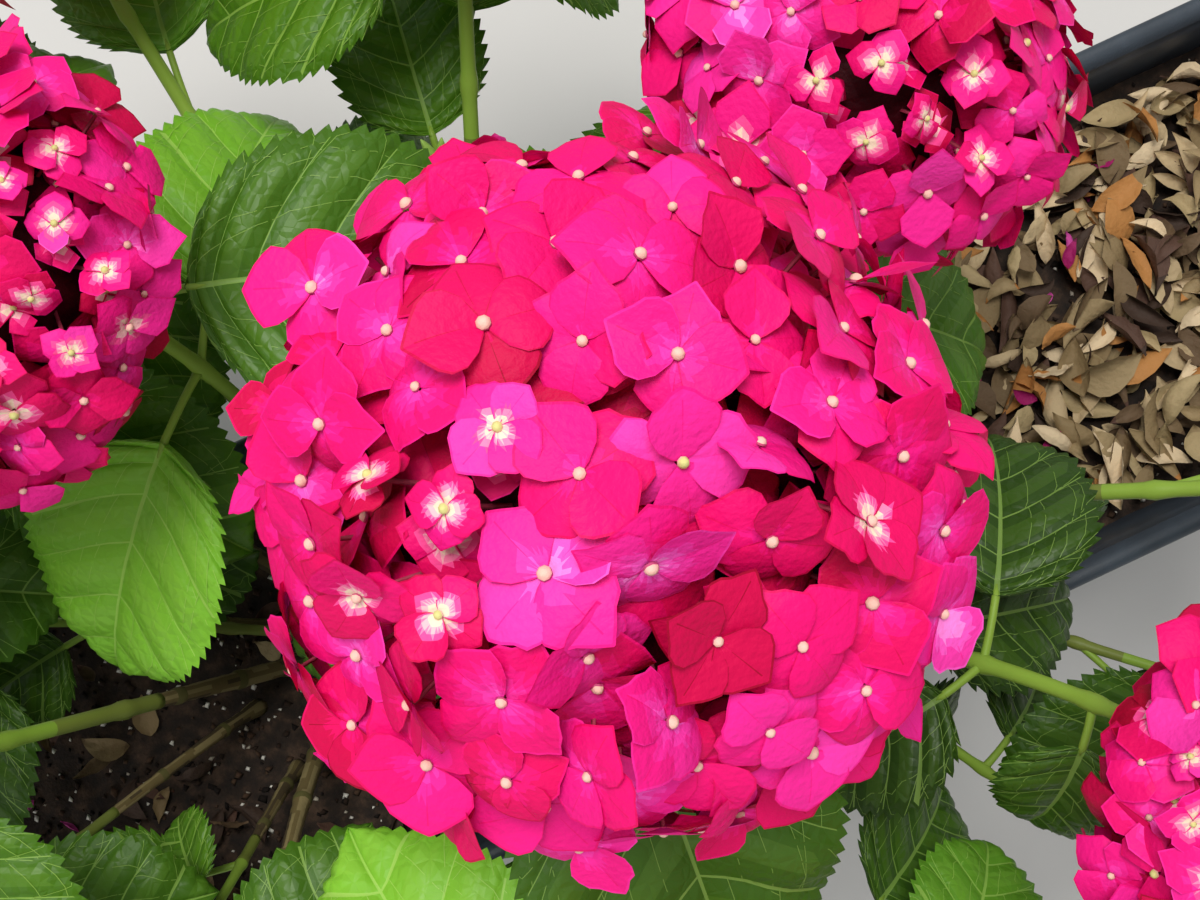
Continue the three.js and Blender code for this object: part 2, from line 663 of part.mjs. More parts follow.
// Four sepals as one square cone, its point sunk in the core and its face turned outwards.
function floretGeometry(shoot, direction, draw) {
  const face = onHead(shoot, direction, FLORET_SEAT);
  const outward = face.clone().sub(onHead(shoot, direction, FLORET_ROOT)).normalize();
  const aside = new THREE.Vector3(swing(draw), swing(draw), swing(draw)).normalize();
  outward.addScaledVector(aside, Math.sin(radians(FLORET_TILT))).normalize();
  const depth = shoot.head * FLORET_DEPTH;
  const geometry = new THREE.ConeGeometry(FLORET_RADIUS, depth, 4, 1, false, draw() * Math.PI);
  geometry.translate(0, depth / 2, 0);
  const inward = new THREE.Quaternion().setFromUnitVectors(new THREE.Vector3(0, 1, 0), outward.negate());
  geometry.applyQuaternion(inward);
  geometry.translate(face.x, face.y, face.z);
  return geometry;
}

function flowerHeadGeometry(shoot) {
  const draw = seededDraw(shoot.index + FLOWER_SEED);
  const count = Math.round((shoot.head / FLORET_RADIUS) ** 2 * FLORET_COVER);
  const golden = Math.PI * (3 - Math.sqrt(5));
  const from = 1 - shoot.top / shoot.length + GAP / shoot.length;
  const stalk = limb(subCurve(shoot.curve, from, 1), () => STALK_RADIUS, SHOOT_SIDES, 2);
  const pieces = [coreGeometry(shoot), stalk];
  for (let i = 0; i < count; i += 1) {
    const height = 1 - (1 - LOWEST_FLORET) * ((i + 0.5) / count);
    const level = Math.sqrt(1 - height * height);
    const direction = new THREE.Vector3(
      Math.cos(i * golden) * level,
      Math.sin(i * golden) * level,
      height,
    );
    pieces.push(floretGeometry(shoot, direction, draw));
  }
  return fuse(pieces);
}

// The whole plant

function finish(colour, roughness) {
  return new THREE.MeshStandardMaterial({ color: colour, roughness, metalness: 0 });
}

function piece(name, geometry, material) {
  const mesh = new THREE.Mesh(geometry, material);
  mesh.name = name;
  return mesh;
}

const materials = {
  trough: finish(COLOURS.trough, 0.45),
  soil: finish(COLOURS.soil, 0.95),
  cane: finish(COLOURS.cane, 0.7),
  leaves: finish(COLOURS.leaves, 0.5),
  flower: finish(COLOURS.flower, 0.6),
};

const shrub = new THREE.Group();
shrub.add(piece('trough', troughGeometry(), materials.trough));
shrub.add(piece('soil', soilGeometry(), materials.soil));

const shoots = SHOOTS.map(plan);
const allLeaves = growLeaves(shoots);
for (const shoot of shoots) {
  const number = String(shoot.index + 1).padStart(2, '0');
  shrub.add(piece(`cane_${number}`, caneGeometry(shoot), materials.cane));
  const leaves = allLeaves.filter((leaf) => leaf.owner === shoot.index);
  shrub.add(piece(`leaves_${number}`, leafyShootGeometry(shoot, leaves), materials.leaves));
  if (shoot.head > 0) {
    shrub.add(piece(`flower_head_${number}`, flowerHeadGeometry(shoot), materials.flower));
  }
}

export default shrub;
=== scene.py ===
# A mophead hydrangea in a long trough planter, dressed with fine meshes and materials.
# Metres and degrees, +Z up. The origin is the middle of the trough's flat underside, +X runs along
# it. Colours of surfaces are red, green and blue from 0 to 255.
import math

import bpy
import numpy as np
from mathutils import Matrix, Vector


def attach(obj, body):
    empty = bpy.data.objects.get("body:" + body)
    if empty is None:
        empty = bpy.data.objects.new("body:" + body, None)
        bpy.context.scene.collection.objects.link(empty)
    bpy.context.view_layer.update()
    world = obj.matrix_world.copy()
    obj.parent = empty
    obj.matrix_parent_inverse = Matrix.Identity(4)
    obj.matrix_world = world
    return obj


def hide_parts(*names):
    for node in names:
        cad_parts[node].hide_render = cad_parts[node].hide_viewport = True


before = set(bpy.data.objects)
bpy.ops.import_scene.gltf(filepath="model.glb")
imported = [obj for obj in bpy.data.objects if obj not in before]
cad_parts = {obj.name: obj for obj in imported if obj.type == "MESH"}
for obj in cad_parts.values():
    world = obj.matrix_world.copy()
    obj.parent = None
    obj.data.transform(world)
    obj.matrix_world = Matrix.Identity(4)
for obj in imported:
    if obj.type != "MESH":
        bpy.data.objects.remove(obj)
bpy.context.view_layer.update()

# Trough and soil, as in the solids
TROUGH_LENGTH = 1.2
TROUGH_WIDTH = 0.3
TROUGH_HEIGHT = 0.28
TROUGH_CORNER = 0.016
WALL = 0.012
TAPER = 0.016
RIM_DEPTH = 0.026
RIM_PROUD = 0.004
SOIL_DEPTH = 0.06
SOIL_FOOT = 0.0143
GAP = 0.0003
SOIL_TOP = TROUGH_HEIGHT - SOIL_DEPTH

# Canes and shoots
CANE_FOOT_RADIUS = 0.0065
CANE_TOP_RADIUS = 0.0044
SHOOT_TOP_RADIUS = 0.0032
ROOT_FLARE = 1.35
FLARE_SHARE = 0.06
FIRST_RISE = 0.36
LAST_RISE = 0.34
CANE_SPLAY = 14
SIDE_SHOOT_GIRTH = 0.72
LEAFY_ABOVE = 0.012
LEAFY_BELOW = 0.026
MOST_LEAFY = 0.86
ARC_STEPS = 200

# Leaves
INTERNODE = 0.064
INTERNODE_GROWTH = 1.16
USUAL_BLADE = 0.16
NODE_UNDER_HEAD = 0.72
NODE_UNDER_LEAN = 0.45
NODE_UNDER_TIP = 0.014
PAIR_SIZES = [0.86, 1, 0.88, 0.7]
LEAF_WIDTH = 0.72
PETIOLE = 0.26
PETIOLE_RADIUS = 0.0025
PETIOLE_PITCH = 24
BLADE_PITCH = 8
BLADE_BEND = 54
PAIR_DROOP = [2, 6, 14, 20]
KEEL = 0.16
BLADE_OUTLINE = [(0, 0), (0.24, 0.96), (0.68, 0.84), (1, 0)]
BLADE_CREST = 0.44
TURN_JITTER = 7
SIZE_JITTER = 0.06
PITCH_JITTER = 9
ROLL_JITTER = 14
LEAF_SEED = 1

# Room that a leaf keeps
LEAF_ROOM = 0.005
LIMB_ROOM = 0.005
STALK_ROOM = 0.003
HEAD_ROOM = 1.16
RIM_ROOM = 0.009
LOWEST_LEAF = 0.19
NODE_ROOM = 0.03
FAR_AWAY = 0.06
FARTHEST_POINT = 0.62
SHEET_GROWTH = 1.05
LIMB_STEPS = 14
GAP_STEPS = 6
NO_VOLUME = 1e-18
# What a leaf tries until it has room: turn and pitch in degrees, share of its length. A turn is
# tried both ways.
TRIES = [
    (0, 0, 1), (0, -9, 1), (11, 5, 0.97), (9, -16, 0.9), (19, -6, 0.84), (0, 14, 0.8),
    (14, -26, 0.72), (32, -8, 0.68), (0, -36, 0.66), (26, 18, 0.6),
]
BARE_END_LOW = (0.284, -0.062)
BARE_END_HIGH = (0.6, 0.2)
# Lines of sight that leaves keep out of, as in the photograph: place on the soil or floor, radius
SHAFTS = [
    ((-0.264, 0.003, 0.22), 0.042),
    ((-0.207, -0.02, 0.22), 0.042),
    ((-0.113, -0.075, 0.22), 0.022),
    ((0.187, 0.375, 0), 0.044),
    ((0.428, -0.214, 0), 0.044),
    ((0.092, -0.302, 0), 0.03),
    ((0.265, -0.258, 0), 0.024),
]

# Flower heads
HEAD_TOP = 0.8
HEAD_BOTTOM = 0.52
HEAD_SKIRT = 0.72
GOLDEN_ANGLE = math.pi * (3 - math.sqrt(5))

# The shoots, as in the solids: foot of the cane, middle of the flower head or growing tip, radius
# of the head, azimuth and tilt of the last stretch, longest leaf, azimuth of each leaf pair
SHOOT_VALUES = ("foot", "tip", "head", "lean", "blade", "turns")
SHOOTS = [
    ((0, -0.014), (0.064, 0.007, 0.72), 0.106, (20, 10), 0.176, (172, 84, 176, 80)),
    ((0.038, 0.032), (0.228, 0.125, 0.59), 0.09, (25, 34), 0.15, (66, 150, 70)),
    ((-0.058, 0.034), (-0.126, 0.192, 0.61), 0.09, (176, 24), 0.19, (-20, 18, -50, 40)),
    ((0.054, -0.034), (0.246, -0.203, 0.594), 0.085, (-66, 40), 0.128, (69, 41, 150)),
    ((-0.156, -0.038), (-0.225, -0.215, 0.565), 0.08, (-110, 26), 0.165, (150, 62, 160)),
    ((-0.12, -0.058), (-0.045, -0.27, 0.605), 0.085, (-75, 24), 0.186, (98, 8, 84)),
    ((0.088, 0.004), (0.405, -0.138, 0.55), 0.078, (-24, 42), 0.14, (-70, 200, 110)),
    ((0.008, 0.052), (0.135, 0.32, 0.55), 0.08, (62, 34), 0.16, (-22, 52, -38)),
    ((-0.15, 0.01), (-0.31, 0.045, 0.59), 0.085, (168, 30), 0.17, (78, 170, 84)),
    ((0.012, -0.062), (0.11, -0.318, 0.535), 0.075, (-70, 36), 0.15, (-160, 10, -80)),
    ((-0.112, 0.036), (-0.25, 0.308, 0.522), 0.078, (118, 36), 0.165, (30, 112, 40)),
    ((-0.03, 0.062), (-0.055, 0.395, 0.5), 0.074, (96, 44), 0.155, (160, 80, 170)),
    ((-0.182, -0.05), (-0.214, -0.096, 0.396), 0, (-130, 20), 0.088, (-100, 170)),
    ((0.1, -0.04), (0.205, -0.232, 0.452), 0, (-62, 34), 0.112, (125, 40, 130)),
    ((0.12, -0.02), (0.352, -0.24, 0.44), 0, (-40, 40), 0.13, (-80, 10, -70)),
    ((-0.19, -0.004), (-0.372, -0.062, 0.452), 0, (-160, 40), 0.14, (-100, 160, -110)),
    ((0.07, 0.048), (0.262, 0.24, 0.42), 0, (50, 40), 0.14, (110, 30)),
    ((-0.096, 0.004), (-0.262, 0.096, 0.398), 0, (160, 36), 0.14, (70, 160, 80)),
    ((-0.06, -0.06), (-0.15, -0.215, 0.418), 0, (-110, 34), 0.15, (-70, -160, -60)),
    ((-0.022, -0.066), (0.03, -0.205, 0.436), 0, (-88, 34), 0.15, (-130, -40, -120)),
    ((-0.16, 0.04), (-0.335, 0.165, 0.44), 0, (146, 36), 0.15, (150, 60, 140)),
    ((-0.076, 0.058), (-0.135, 0.28, 0.41), 0, (108, 38), 0.14, (100, 20, 110)),
    ((0.056, 0.06), (0.062, 0.215, 0.4), 0, (84, 36), 0.14, (70, 150, 60)),
]

# Looks of the trough, and of the soil with its crumbs and dry leaves
EDGE_ROUND = 0.004
INNER_ROUND = 0.003
INNER_STEP = 0.0035
LONG_SIDE_BOW = 0.0012
SIDE_STEP = 0.04
SLATES = [(44, 52, 60), (54, 63, 72), (64, 75, 86)]
EARTHS = [(20, 13, 9), (42, 30, 21), (74, 55, 41)]
SOIL_SUNK = 0.004
SOIL_GAP = 0.0006
SOIL_POINTS = (233, 55)
# Height, breadth and seed of the bumps of each size
SOIL_BUMPS = [(0.004, 0.06, 3), (0.003, 0.022, 4), (0.0016, 0.009, 5)]
GRIT_ROOM = (0.022, 0.024)
GRIT_SEAT = 0.35
GRIT_REACH = (0.6, 1.15)
GRIT_SHIFT = 0.3
GRIT_SQUASH = 0.75
LITTER_ROWS = 9
LITTER_COLUMNS = 6
LITTER_OUTLINE = ([0, 0.06, 0.2, 0.42, 0.66, 0.86, 1], [0.05, 0.3, 0.78, 1, 0.76, 0.32, 0.03])
LITTER_WIDTH = (0.34, 0.66)
LITTER_ROOM = 0.024
LITTER_SIDE_ROOM = 0.036
LITTER_SUNK = 0.001
LITTER_CRUMPLE = 0.001
LITTER_TILTS = (0.5, 0.3)
CURL_ODDS = [0.35, 0.65]
# How much each dry leaf differs: whole angles of its curl and roll, and shares of its size
LITTER_VARIES = {"curl": (0.3, 1.9), "fold": (-0.1, 0.5), "roll": (0.2, 2.2), "bend": (-0.12, 0.12)}
WITHERED_TIP = (5, 11)
WITHERED_FOOT = (-2, 2)

# Looks of the canes and green shoots
BARK_SIDES = 12
BARK_RINGS = 64
BARK_PATCH = 0.03
BARK_COLOURS = [(132, 118, 78), (104, 90, 54), (74, 62, 40), (88, 84, 44)]
CANE_SUNK = 0.006
CANE_NODE_SPACING = (0.05, 0.07)
CANE_NODE_HALF = 0.004
BARK_GIRTH = 0.93
NODE_RELIEF = 0.17
RIDGE_RELIEF = 0.07
FLAKE_RELIEF = 0.035
PALE_RIDGE = 0.25
DARK_RIDGE = -0.3
GREEN_NODE = 0.6
SHOOT_SIDES = 10
SHOOT_RINGS = 46
SHOOT_NODE_HALF = 0.0045
SHOOT_OVERLAP = 0.004
NODE_SWELL = 0.3
OLD_SHARE = 0.3
STEM_COLOURS = [(132, 164, 58), (112, 124, 52), (150, 186, 84)]
STALK_GIRTH = ([0, 0.12, 0.5, 0.88, 1], [1.3, 0.86, 0.78, 0.8, 0.4])
STALK_ARCH = 0.012
STALK_RINGS = 8
STALK_SIDES = 8
STALK_END = 0.05
STALK_UNDER = 0.0008
BUD_LENGTH = 0.022
BUD_RADIUS = 0.0032
BUD_SUNK = 0.004
BUD_RINGS = 9
BUD_APART = 0.002
BUD_OPEN = 0.0035

# Looks of the blades
TOOTH_PITCH = 0.0072
FEWEST_TEETH = 13
TOOTH_DEPTH = 0.0036
TOOTH_PROFILE = ([0, 0.5, 0.86, 1], [0, 0.62, 1, 0])
TOOTH_ROWS = (0, 0.5, 0.86)
TOOTHLESS_BASE = 0.12
VEIN_PAIRS = 7
FIRST_VEIN = 0.035
LAST_VEIN = 0.84
BEYOND_VEINS = (-0.06, 1.02)
VEIN_HALF = 0.00042
VEIN_SLANT = 0.26
BLADE_COLUMNS = (0.2, 0.37, 0.54, 0.7, 0.84, 0.94, 1)
MIDRIB_HALF = 0.0013
PUCKER = 0.0032
MARGIN_WAVE = 0.0022
MARGIN_WAVES = 2.6
MARGIN_CURL = 0.45
CURL_FROM = 0.55
TIP_DROOP = 0.75
TIP_FROM = 0.8
UNEVEN = 0.0011
UNEVEN_PATCH = 0.012
OUTLINE_STEPS = 241
TEETH_FADE = 9
VEIN_CROWDING = 0.92
VEIN_ARCH = 1.3
THINNEST_ROW = 0.004
# Shares of the way from one side vein to the next where a blade's crest takes a painted sheen highlight
SHEEN_BETWEEN = (0.3, 0.72)
SHEEN_STRIP = 1
VEIN_STRIP = 2
FINE_VEIN_HALF = 0.00016
FINE_VEIN_LIFT = 0.00025
FINE_VEIN_STEPS = 5
ALL_VEINS_FROM = 0.062
FORK_STARTS = (3.2, 4.6)
CROSS_STARTS = (2.1, 3.3, 4.5, 5.7)
FORK_RISE = (0.28, 0.46)
FORK_SHORT = 0.2
CROSS_JITTER = 0.4
CROSS_SLANT = (0.1, 0.9)

# Looks of the flowers. Each layer of a head has a count of florets, the length of a sepal, rows and
# columns of its mesh, sides of a bud, seats as shares of the head's radius, a share of green eyes
# and the numbers of its pinks. The under layers take deeper pinks as painted shade inside the head.
FLORET_TILT = 20
FACES_UP = 0.5
FACES_FROM = 0.3
HEAD_HUB = 0.25
PEDICEL_RADII = (0.0011, 0.0009, 0.0008)
PEDICEL_SWAY = 0.003
HUB_DROP = 0.1
CORE_GRID = (13, 20)
CORE_POLE = 0.02
CORE_REACH = (0.6, 0.74)
SEPAL_COUNTS = [3, 4, 5]
SEPAL_ODDS = [0.04, 0.9, 0.06]
SEPAL_SWAY = 0.09
SEPAL_CUP = (0.12, 0.1)
POINT_HALF = 0.16
CREASE_HALF = 0.12
FLORET_SIZES = (0.86, 1.1)
SEPAL_SIZES = (0.93, 1.05)
# How much each sepal differs: shares of its length or spread, waves across it and degrees
SEPAL_VARIES = {
    "teeth": (0.0, 0.035), "tooth waves": (14, 26), "point": (-0.06, 0.1), "spread": (0.86, 1.04),
    "skew": (-0.06, 0.06), "rise": (0, 26), "bend": (10, 56), "ripple": (0.01, 0.06),
    "ripple waves": (2, 4.6), "ripple start": (0, 6), "crease": (0.0, 0.05),
}
LOWEST_FLORET = -0.7
SEPAL_SPREAD = 76
UNDER_SEAT = (0.7, 0.84)
HALF_COLUMNS = np.array([0.01, 0.14, 0.29, 0.45, 0.61, 0.76, 0.89, 1])
HERO_COLUMNS = np.concatenate([-HALF_COLUMNS[::-1], HALF_COLUMNS])
HERO_VEIN = len(HALF_COLUMNS) - 1
HERO = {"florets": 168, "sepal": 0.0192, "rows": 7, "columns": HERO_COLUMNS, "button": 8,
        "seat": (0.9, 1.0), "green_eyes": 0.01, "tones": (3, 4, 5, 5, 6, 6)}
HERO_UNDER = {"florets": 104, "sepal": 0.0212, "rows": 6, "columns": np.linspace(-1, 1, 7), "button": 5,
              "seat": UNDER_SEAT, "green_eyes": 0.01, "tones": (5, 6, 6, 7)}
NEAR = {"florets": 120, "sepal": 0.0188, "rows": 6, "columns": np.linspace(-1, 1, 9), "button": 6,
        "seat": (0.88, 0.99), "green_eyes": 0.12, "tones": (3, 4, 4, 5, 6)}
NEAR_UNDER = {"florets": 70, "sepal": 0.0192, "rows": 4, "columns": np.linspace(-1, 1, 5), "button": 5,
              "seat": UNDER_SEAT, "green_eyes": 0.1, "tones": (5, 6, 7)}
FAR = {"florets": 106, "sepal": 0.0192, "rows": 5, "columns": np.linspace(-1, 1, 6), "button": 5,
       "seat": (0.88, 0.99), "green_eyes": 0.08, "tones": (4, 4, 5, 6)}
FAR_UNDER = {"florets": 54, "sepal": 0.0196, "rows": 4, "columns": np.linspace(-1, 1, 5), "button": 5,
             "seat": UNDER_SEAT, "green_eyes": 0.08, "tones": (6, 6, 7)}
NEAR_HEADS = 4
# Middle of each patch of young florets, as a direction from the middle of the head
YOUNG_PATCHES = {
    0: [(-0.58, 0.06, 0.81)],
    1: [(-0.64, -0.5, 0.5), (-0.34, -0.74, 0.58)],
    2: [(0.91, -0.14, 0.4), (0.81, -0.52, 0.26), (0.59, -0.65, 0.49)],
    3: [(-0.7, 0.68, 0.22)],
}
YOUNG_REACH = 0.34
YOUNG_SIZE = 0.6

SEEDS = {"grit": 11, "litter": 12, "canes": 21, "bark": 31, "blades": 51, "unevenness": 41,
         "fine veins": 52, "first head": 71}

# Camera, at the photograph's viewing angle: almost straight down
CAMERA_PLACE = (0.05, -0.012, 1.14)
CAMERA_AZIMUTH = -25
CAMERA_ELEVATION = 85.5
CAMERA_LENS = 42.39
CAMERA_NEAREST = 0.02
SENSOR_WIDTH = 36

# Floor, sky and lights: name, place, size, power and colour of each. The colours of light are
# shares of red, green and blue.
FLOOR_REACH = 16
FLOOR_COLOUR = (214, 212, 208)
SKY_COLOUR = (0.98, 0.99, 1.0)
SKY_STRENGTH = 0.56
LIGHTS_AIM = (0, 0, 0.4)
LIGHTS = [
    ("key", (0.1, 0.7, 3.0), 1.0, 60, (1.0, 0.99, 0.97)),
    ("fill", (-2.0, -1.4, 1.8), 2.2, 14, (0.97, 0.98, 1.0)),
]

UP = np.array([0.0, 0.0, 1.0])


# Numbers and directions

def seeded_draws(seed):
    """The same row of numbers from 0 to 1 that the solids' rule draws."""
    spread, start, step, shift, span = 9781, 5477, 1664525, 1013904223, 2 ** 32
    state = (seed * spread + start) % span
    while True:
        state = (state * step + shift) % span
        yield state / span


def swing(draws):
    return next(draws) * 2 - 1


def heading(azimuth, pitch):
    level = math.cos(math.radians(pitch))
    return np.array([
        math.cos(math.radians(azimuth)) * level,
        math.sin(math.radians(azimuth)) * level,
        math.sin(math.radians(pitch)),
    ])


def unit(vectors):
    return vectors / np.linalg.norm(vectors, axis=-1, keepdims=True)


def smooth_step(low, high, values):
    share = np.clip((values - low) / (high - low), 0, 1)
    return share * share * (3 - 2 * share)


def blend(one, other, share):
    return one * (1 - share) + other * share


def rumple(x, y, scale, seed):
    """Smooth bumps from -1 to 1 over a plane, the same each run."""
    size = 64
    lattice = np.random.default_rng(seed).uniform(-1, 1, (size, size))
    column, row = np.floor(x / scale).astype(int), np.floor(y / scale).astype(int)
    across = smooth_step(0, 1, x / scale - column)
    along = smooth_step(0, 1, y / scale - row)
    left, right = column % size, (column + 1) % size
    low, high = row % size, (row + 1) % size
    return blend(
        blend(lattice[left, low], lattice[right, low], across),
        blend(lattice[left, high], lattice[right, high], across), along)


def circle(angles, one, other):
    """Directions at the given angles from one direction towards another that is square to it."""
    return np.cos(angles)[..., None] * one + np.sin(angles)[..., None] * other


def round_angles(sides):
    return np.linspace(0, 2 * math.pi, sides, endpoint=False)


# The leaf rule of the solids

class Stem:
    """A bent stem. A place on it is the share of its length from the foot."""

    def __init__(self, shoot):
        foot = np.array([*shoot["foot"], SOIL_TOP + GAP])
        tip = np.array(shoot["tip"])
        span = np.linalg.norm(tip - foot)
        plan_azimuth = math.degrees(math.atan2(tip[1] - foot[1], tip[0] - foot[0]))
        azimuth, tilt = shoot["lean"]
        rise = heading(plan_azimuth, 90 - CANE_SPLAY) * span * FIRST_RISE
        lean = heading(azimuth, 90 - tilt) * span * LAST_RISE
        self.handles = np.array([foot, foot + rise, tip - lean, tip])
        self.steps = np.linspace(0, 1, ARC_STEPS + 1)
        hops = np.linalg.norm(np.diff(self.bend(self.steps), axis=0), axis=1)
        self.reached = np.concatenate([[0], np.cumsum(hops)])
        self.length = self.reached[-1]

    def bend(self, t):
        t = np.atleast_1d(t)[:, None]
        weights = np.hstack([(1 - t) ** 3, 3 * (1 - t) ** 2 * t, 3 * (1 - t) * t ** 2, t ** 3])
        return weights @ self.handles

    def at(self, share):
        return self.bend(np.interp(np.atleast_1d(share) * self.length, self.reached, self.steps))


def plan(shoot, index):
    """The shoot with its stem, and the distances down from its tip of its leaf pairs and leafy part.

    Its bare part, the cane, is a share of its length.
    """
    stem = Stem(shoot)
    head, tilt = shoot["head"], math.radians(shoot["lean"][1])
    top_node = head * (NODE_UNDER_HEAD + NODE_UNDER_LEAN * math.sin(tilt)) if head else NODE_UNDER_TIP
    nodes = []
    down = top_node
    step = INTERNODE * math.sqrt(shoot["blade"] / USUAL_BLADE)
    for _ in shoot["turns"]:
        nodes.append(down)
        down += step
        step *= INTERNODE_GROWTH
    bottom = min(nodes[-1] + LEAFY_BELOW, stem.length * MOST_LEAFY)
    return {
        **shoot,
        "index": index,
        "stem": stem,
        "length": stem.length,
        "nodes": nodes,
        "top": top_node - LEAFY_ABOVE if head else 0,
        "bottom": bottom,
        "bare": 1 - bottom / stem.length,
        "axis": heading(shoot["lean"][0], 90 - shoot["lean"][1]),
    }


def stem_radius(shoot, along):
    end = shoot["bare"]
    girth = 1 if shoot["head"] else SIDE_SHOOT_GIRTH
    flare = CANE_FOOT_RADIUS * (1 + (ROOT_FLARE - 1) * (1 - along / FLARE_SHARE))
    lower = CANE_FOOT_RADIUS + (CANE_TOP_RADIUS - CANE_FOOT_RADIUS) * along / end
    upper = CANE_TOP_RADIUS + (SHOOT_TOP_RADIUS - CANE_TOP_RADIUS) * (along - end) / (1 - end)
    return girth * np.where(along < FLARE_SHARE, flare, np.where(along < end, lower, upper))


def blade_points(leaf, along, out, lift=0.0):
    """Places on a blade, by how far along it and how far out from its midrib they lie."""
    along, out = np.asarray(along, float), np.asarray(out, float)
    bend = math.radians(BLADE_BEND) / leaf["length"]
    start = math.radians(leaf["pitch"])
    pitch = start - math.radians(BLADE_BEND) * along
    level = (math.sin(start) - np.sin(pitch)) / bend
    height = (np.cos(pitch) - math.cos(start)) / bend
    forward = heading(leaf["azimuth"], 0)
    aside = np.cross(UP, forward)
    roll = math.radians(leaf["roll"])
    half = out * leaf["length"] * LEAF_WIDTH / 2
    rise = KEEL * np.abs(half) + math.sin(roll) * half + lift
    normal = -np.sin(pitch)[..., None] * forward + np.cos(pitch)[..., None] * UP
    return (leaf["base"] + level[..., None] * forward + height[..., None] * UP
            + (half * math.cos(roll))[..., None] * aside + rise[..., None] * normal)


def place_leaf(shoot, distance, azimuth, length, pitch, roll):
    node = shoot["stem"].at(1 - distance / shoot["length"])[0]
    base = node + heading(azimuth, PETIOLE_PITCH + pitch) * length * PETIOLE
    leaf = {
        "owner": shoot["index"], "distance": distance, "node": node, "base": base,
        "azimuth": azimuth, "length": length, "pitch": BLADE_PITCH + pitch, "roll": roll,
    }
    rim = BLADE_OUTLINE + [(along, -out) for along, out in BLADE_OUTLINE[-2:0:-1]]
    leaf["rim"] = blade_points(leaf, [along for along, _ in rim], [out for _, out in rim])
    leaf["crest"] = blade_points(leaf, BLADE_CREST, 0)
    return leaf


def sheet(leaf, shift):
    """The blade as triangles round its crest, moved along its normal by the shift."""
    rim, crest = leaf["rim"], leaf["crest"]
    normal = unit(np.cross(rim[1] - rim[5], rim[3] - rim[0]))
    moved = (rim - crest) * SHEET_GROWTH + crest + normal * shift
    middle = np.broadcast_to(crest + normal * shift, moved.shape)
    return np.stack([middle, moved, np.roll(moved, -1, axis=0)], axis=1)


def pierced(starts, ends, triangles):
    """True for each line and triangle where the line passes through the triangle."""
    way = (ends - starts)[:, None]
    corner = triangles[None, :, 0]
    ab = triangles[None, :, 1] - corner
    ac = triangles[None, :, 2] - corner
    turned = np.cross(way, ac)
    scale = (ab * turned).sum(-1)
    flat = np.abs(scale) < NO_VOLUME
    scale = np.where(flat, 1, scale)
    reach = starts[:, None] - corner
    u = (reach * turned).sum(-1) / scale
    spin = np.cross(reach, ab)
    v = (way * spin).sum(-1) / scale
    t = (ac * spin).sum(-1) / scale
    return ~flat & (u >= 0) & (u <= 1) & (v >= 0) & (u + v <= 1) & (t >= 0) & (t <= 1)


def sheets_cross(one, other):
    starts = np.concatenate([one[:, 0], one[:, 1]])
    ends = np.concatenate([one[:, 1], one[:, 2]])
    return pierced(starts, ends, other).any()


def gaps(starts, ends, feet, tops):
    """Least distance of each first line, probed at a few places, from each second line."""
    shares = np.linspace(0, 1, GAP_STEPS + 1)[:, None]
    points = starts[:, None] + (ends - starts)[:, None] * shares
    way = tops - feet
    from_foot = points[:, :, None] - feet
    share = np.clip((from_foot * way).sum(-1) / (way * way).sum(-1), 0, 1)
    return np.linalg.norm(from_foot - share[..., None] * way, axis=-1).min(axis=1)


def blade_pierced(leaf, starts, ends, room):
    """True where a line passes through the blade, or within the room above or below it."""
    return any(pierced(starts, ends, sheet(leaf, shift)).any() for shift in (-room, 0, room))


def near_rim(leaf, starts, ends, room):
    still = sheet(leaf, 0)
    return (gaps(still[:, 1], still[:, 2], starts, ends) < room).any()


def stalk_meets(one, other):
    stalk = (one["node"][None], one["base"][None])
    return near_rim(other, *stalk, PETIOLE_RADIUS + STALK_ROOM) or blade_pierced(other, *stalk, LEAF_ROOM)


def stalks_meet(one, other):
    if one["owner"] == other["owner"]:
        return False
    least = gaps(one["node"][None], one["base"][None], other["node"][None], other["base"][None])
    return least[0, 0] < 2 * PETIOLE_RADIUS + STALK_ROOM


def leaves_meet(one, other):
    reach = (one["length"] + other["length"]) * FARTHEST_POINT
    if np.linalg.norm(one["crest"] - other["crest"]) > reach:
        return False
    still = sheet(other, 0)
    for shift in (-LEAF_ROOM, 0, LEAF_ROOM):
        moved = sheet(one, shift)
        if sheets_cross(moved, still) or sheets_cross(still, moved):
            return True
    return stalks_meet(one, other) or stalk_meets(one, other) or stalk_meets(other, one)


def limb_lines(shoots):
    """Every stem as short straight lines, with their radius, distance from the tip and owner."""
    shares = np.linspace(0, 1, LIMB_STEPS + 1)
    middles = (shares[1:] + shares[:-1]) / 2
    places = [shoot["stem"].at(shares) for shoot in shoots]
    return {
        "from": np.concatenate([place[:-1] for place in places]),
        "to": np.concatenate([place[1:] for place in places]),
        "radius": np.concatenate([stem_radius(shoot, middles) for shoot in shoots]),
        "distance": np.concatenate([(1 - middles) * shoot["length"] for shoot in shoots]),
        "owner": np.repeat([shoot["index"] for shoot in shoots], LIMB_STEPS),
    }


def meets_limb(leaf, lines):
    own = lines["owner"] == leaf["owner"]
    near_node = own & (np.abs(lines["distance"] - leaf["distance"]) < NODE_ROOM)
    near = np.linalg.norm(lines["from"] - leaf["crest"], axis=1) <= leaf["length"] + FAR_AWAY
    tested = near & ~near_node
    if not tested.any():
        return False
    starts, ends = lines["from"][tested], lines["to"][tested]
    room = lines["radius"][tested] + LIMB_ROOM
    if blade_pierced(leaf, starts, ends, LIMB_ROOM) or near_rim(leaf, starts, ends, room):
        return True
    stalk_gaps = gaps(leaf["node"][None], leaf["base"][None], starts, ends)[0]
    return ((stalk_gaps < room) & ~own[tested]).any()


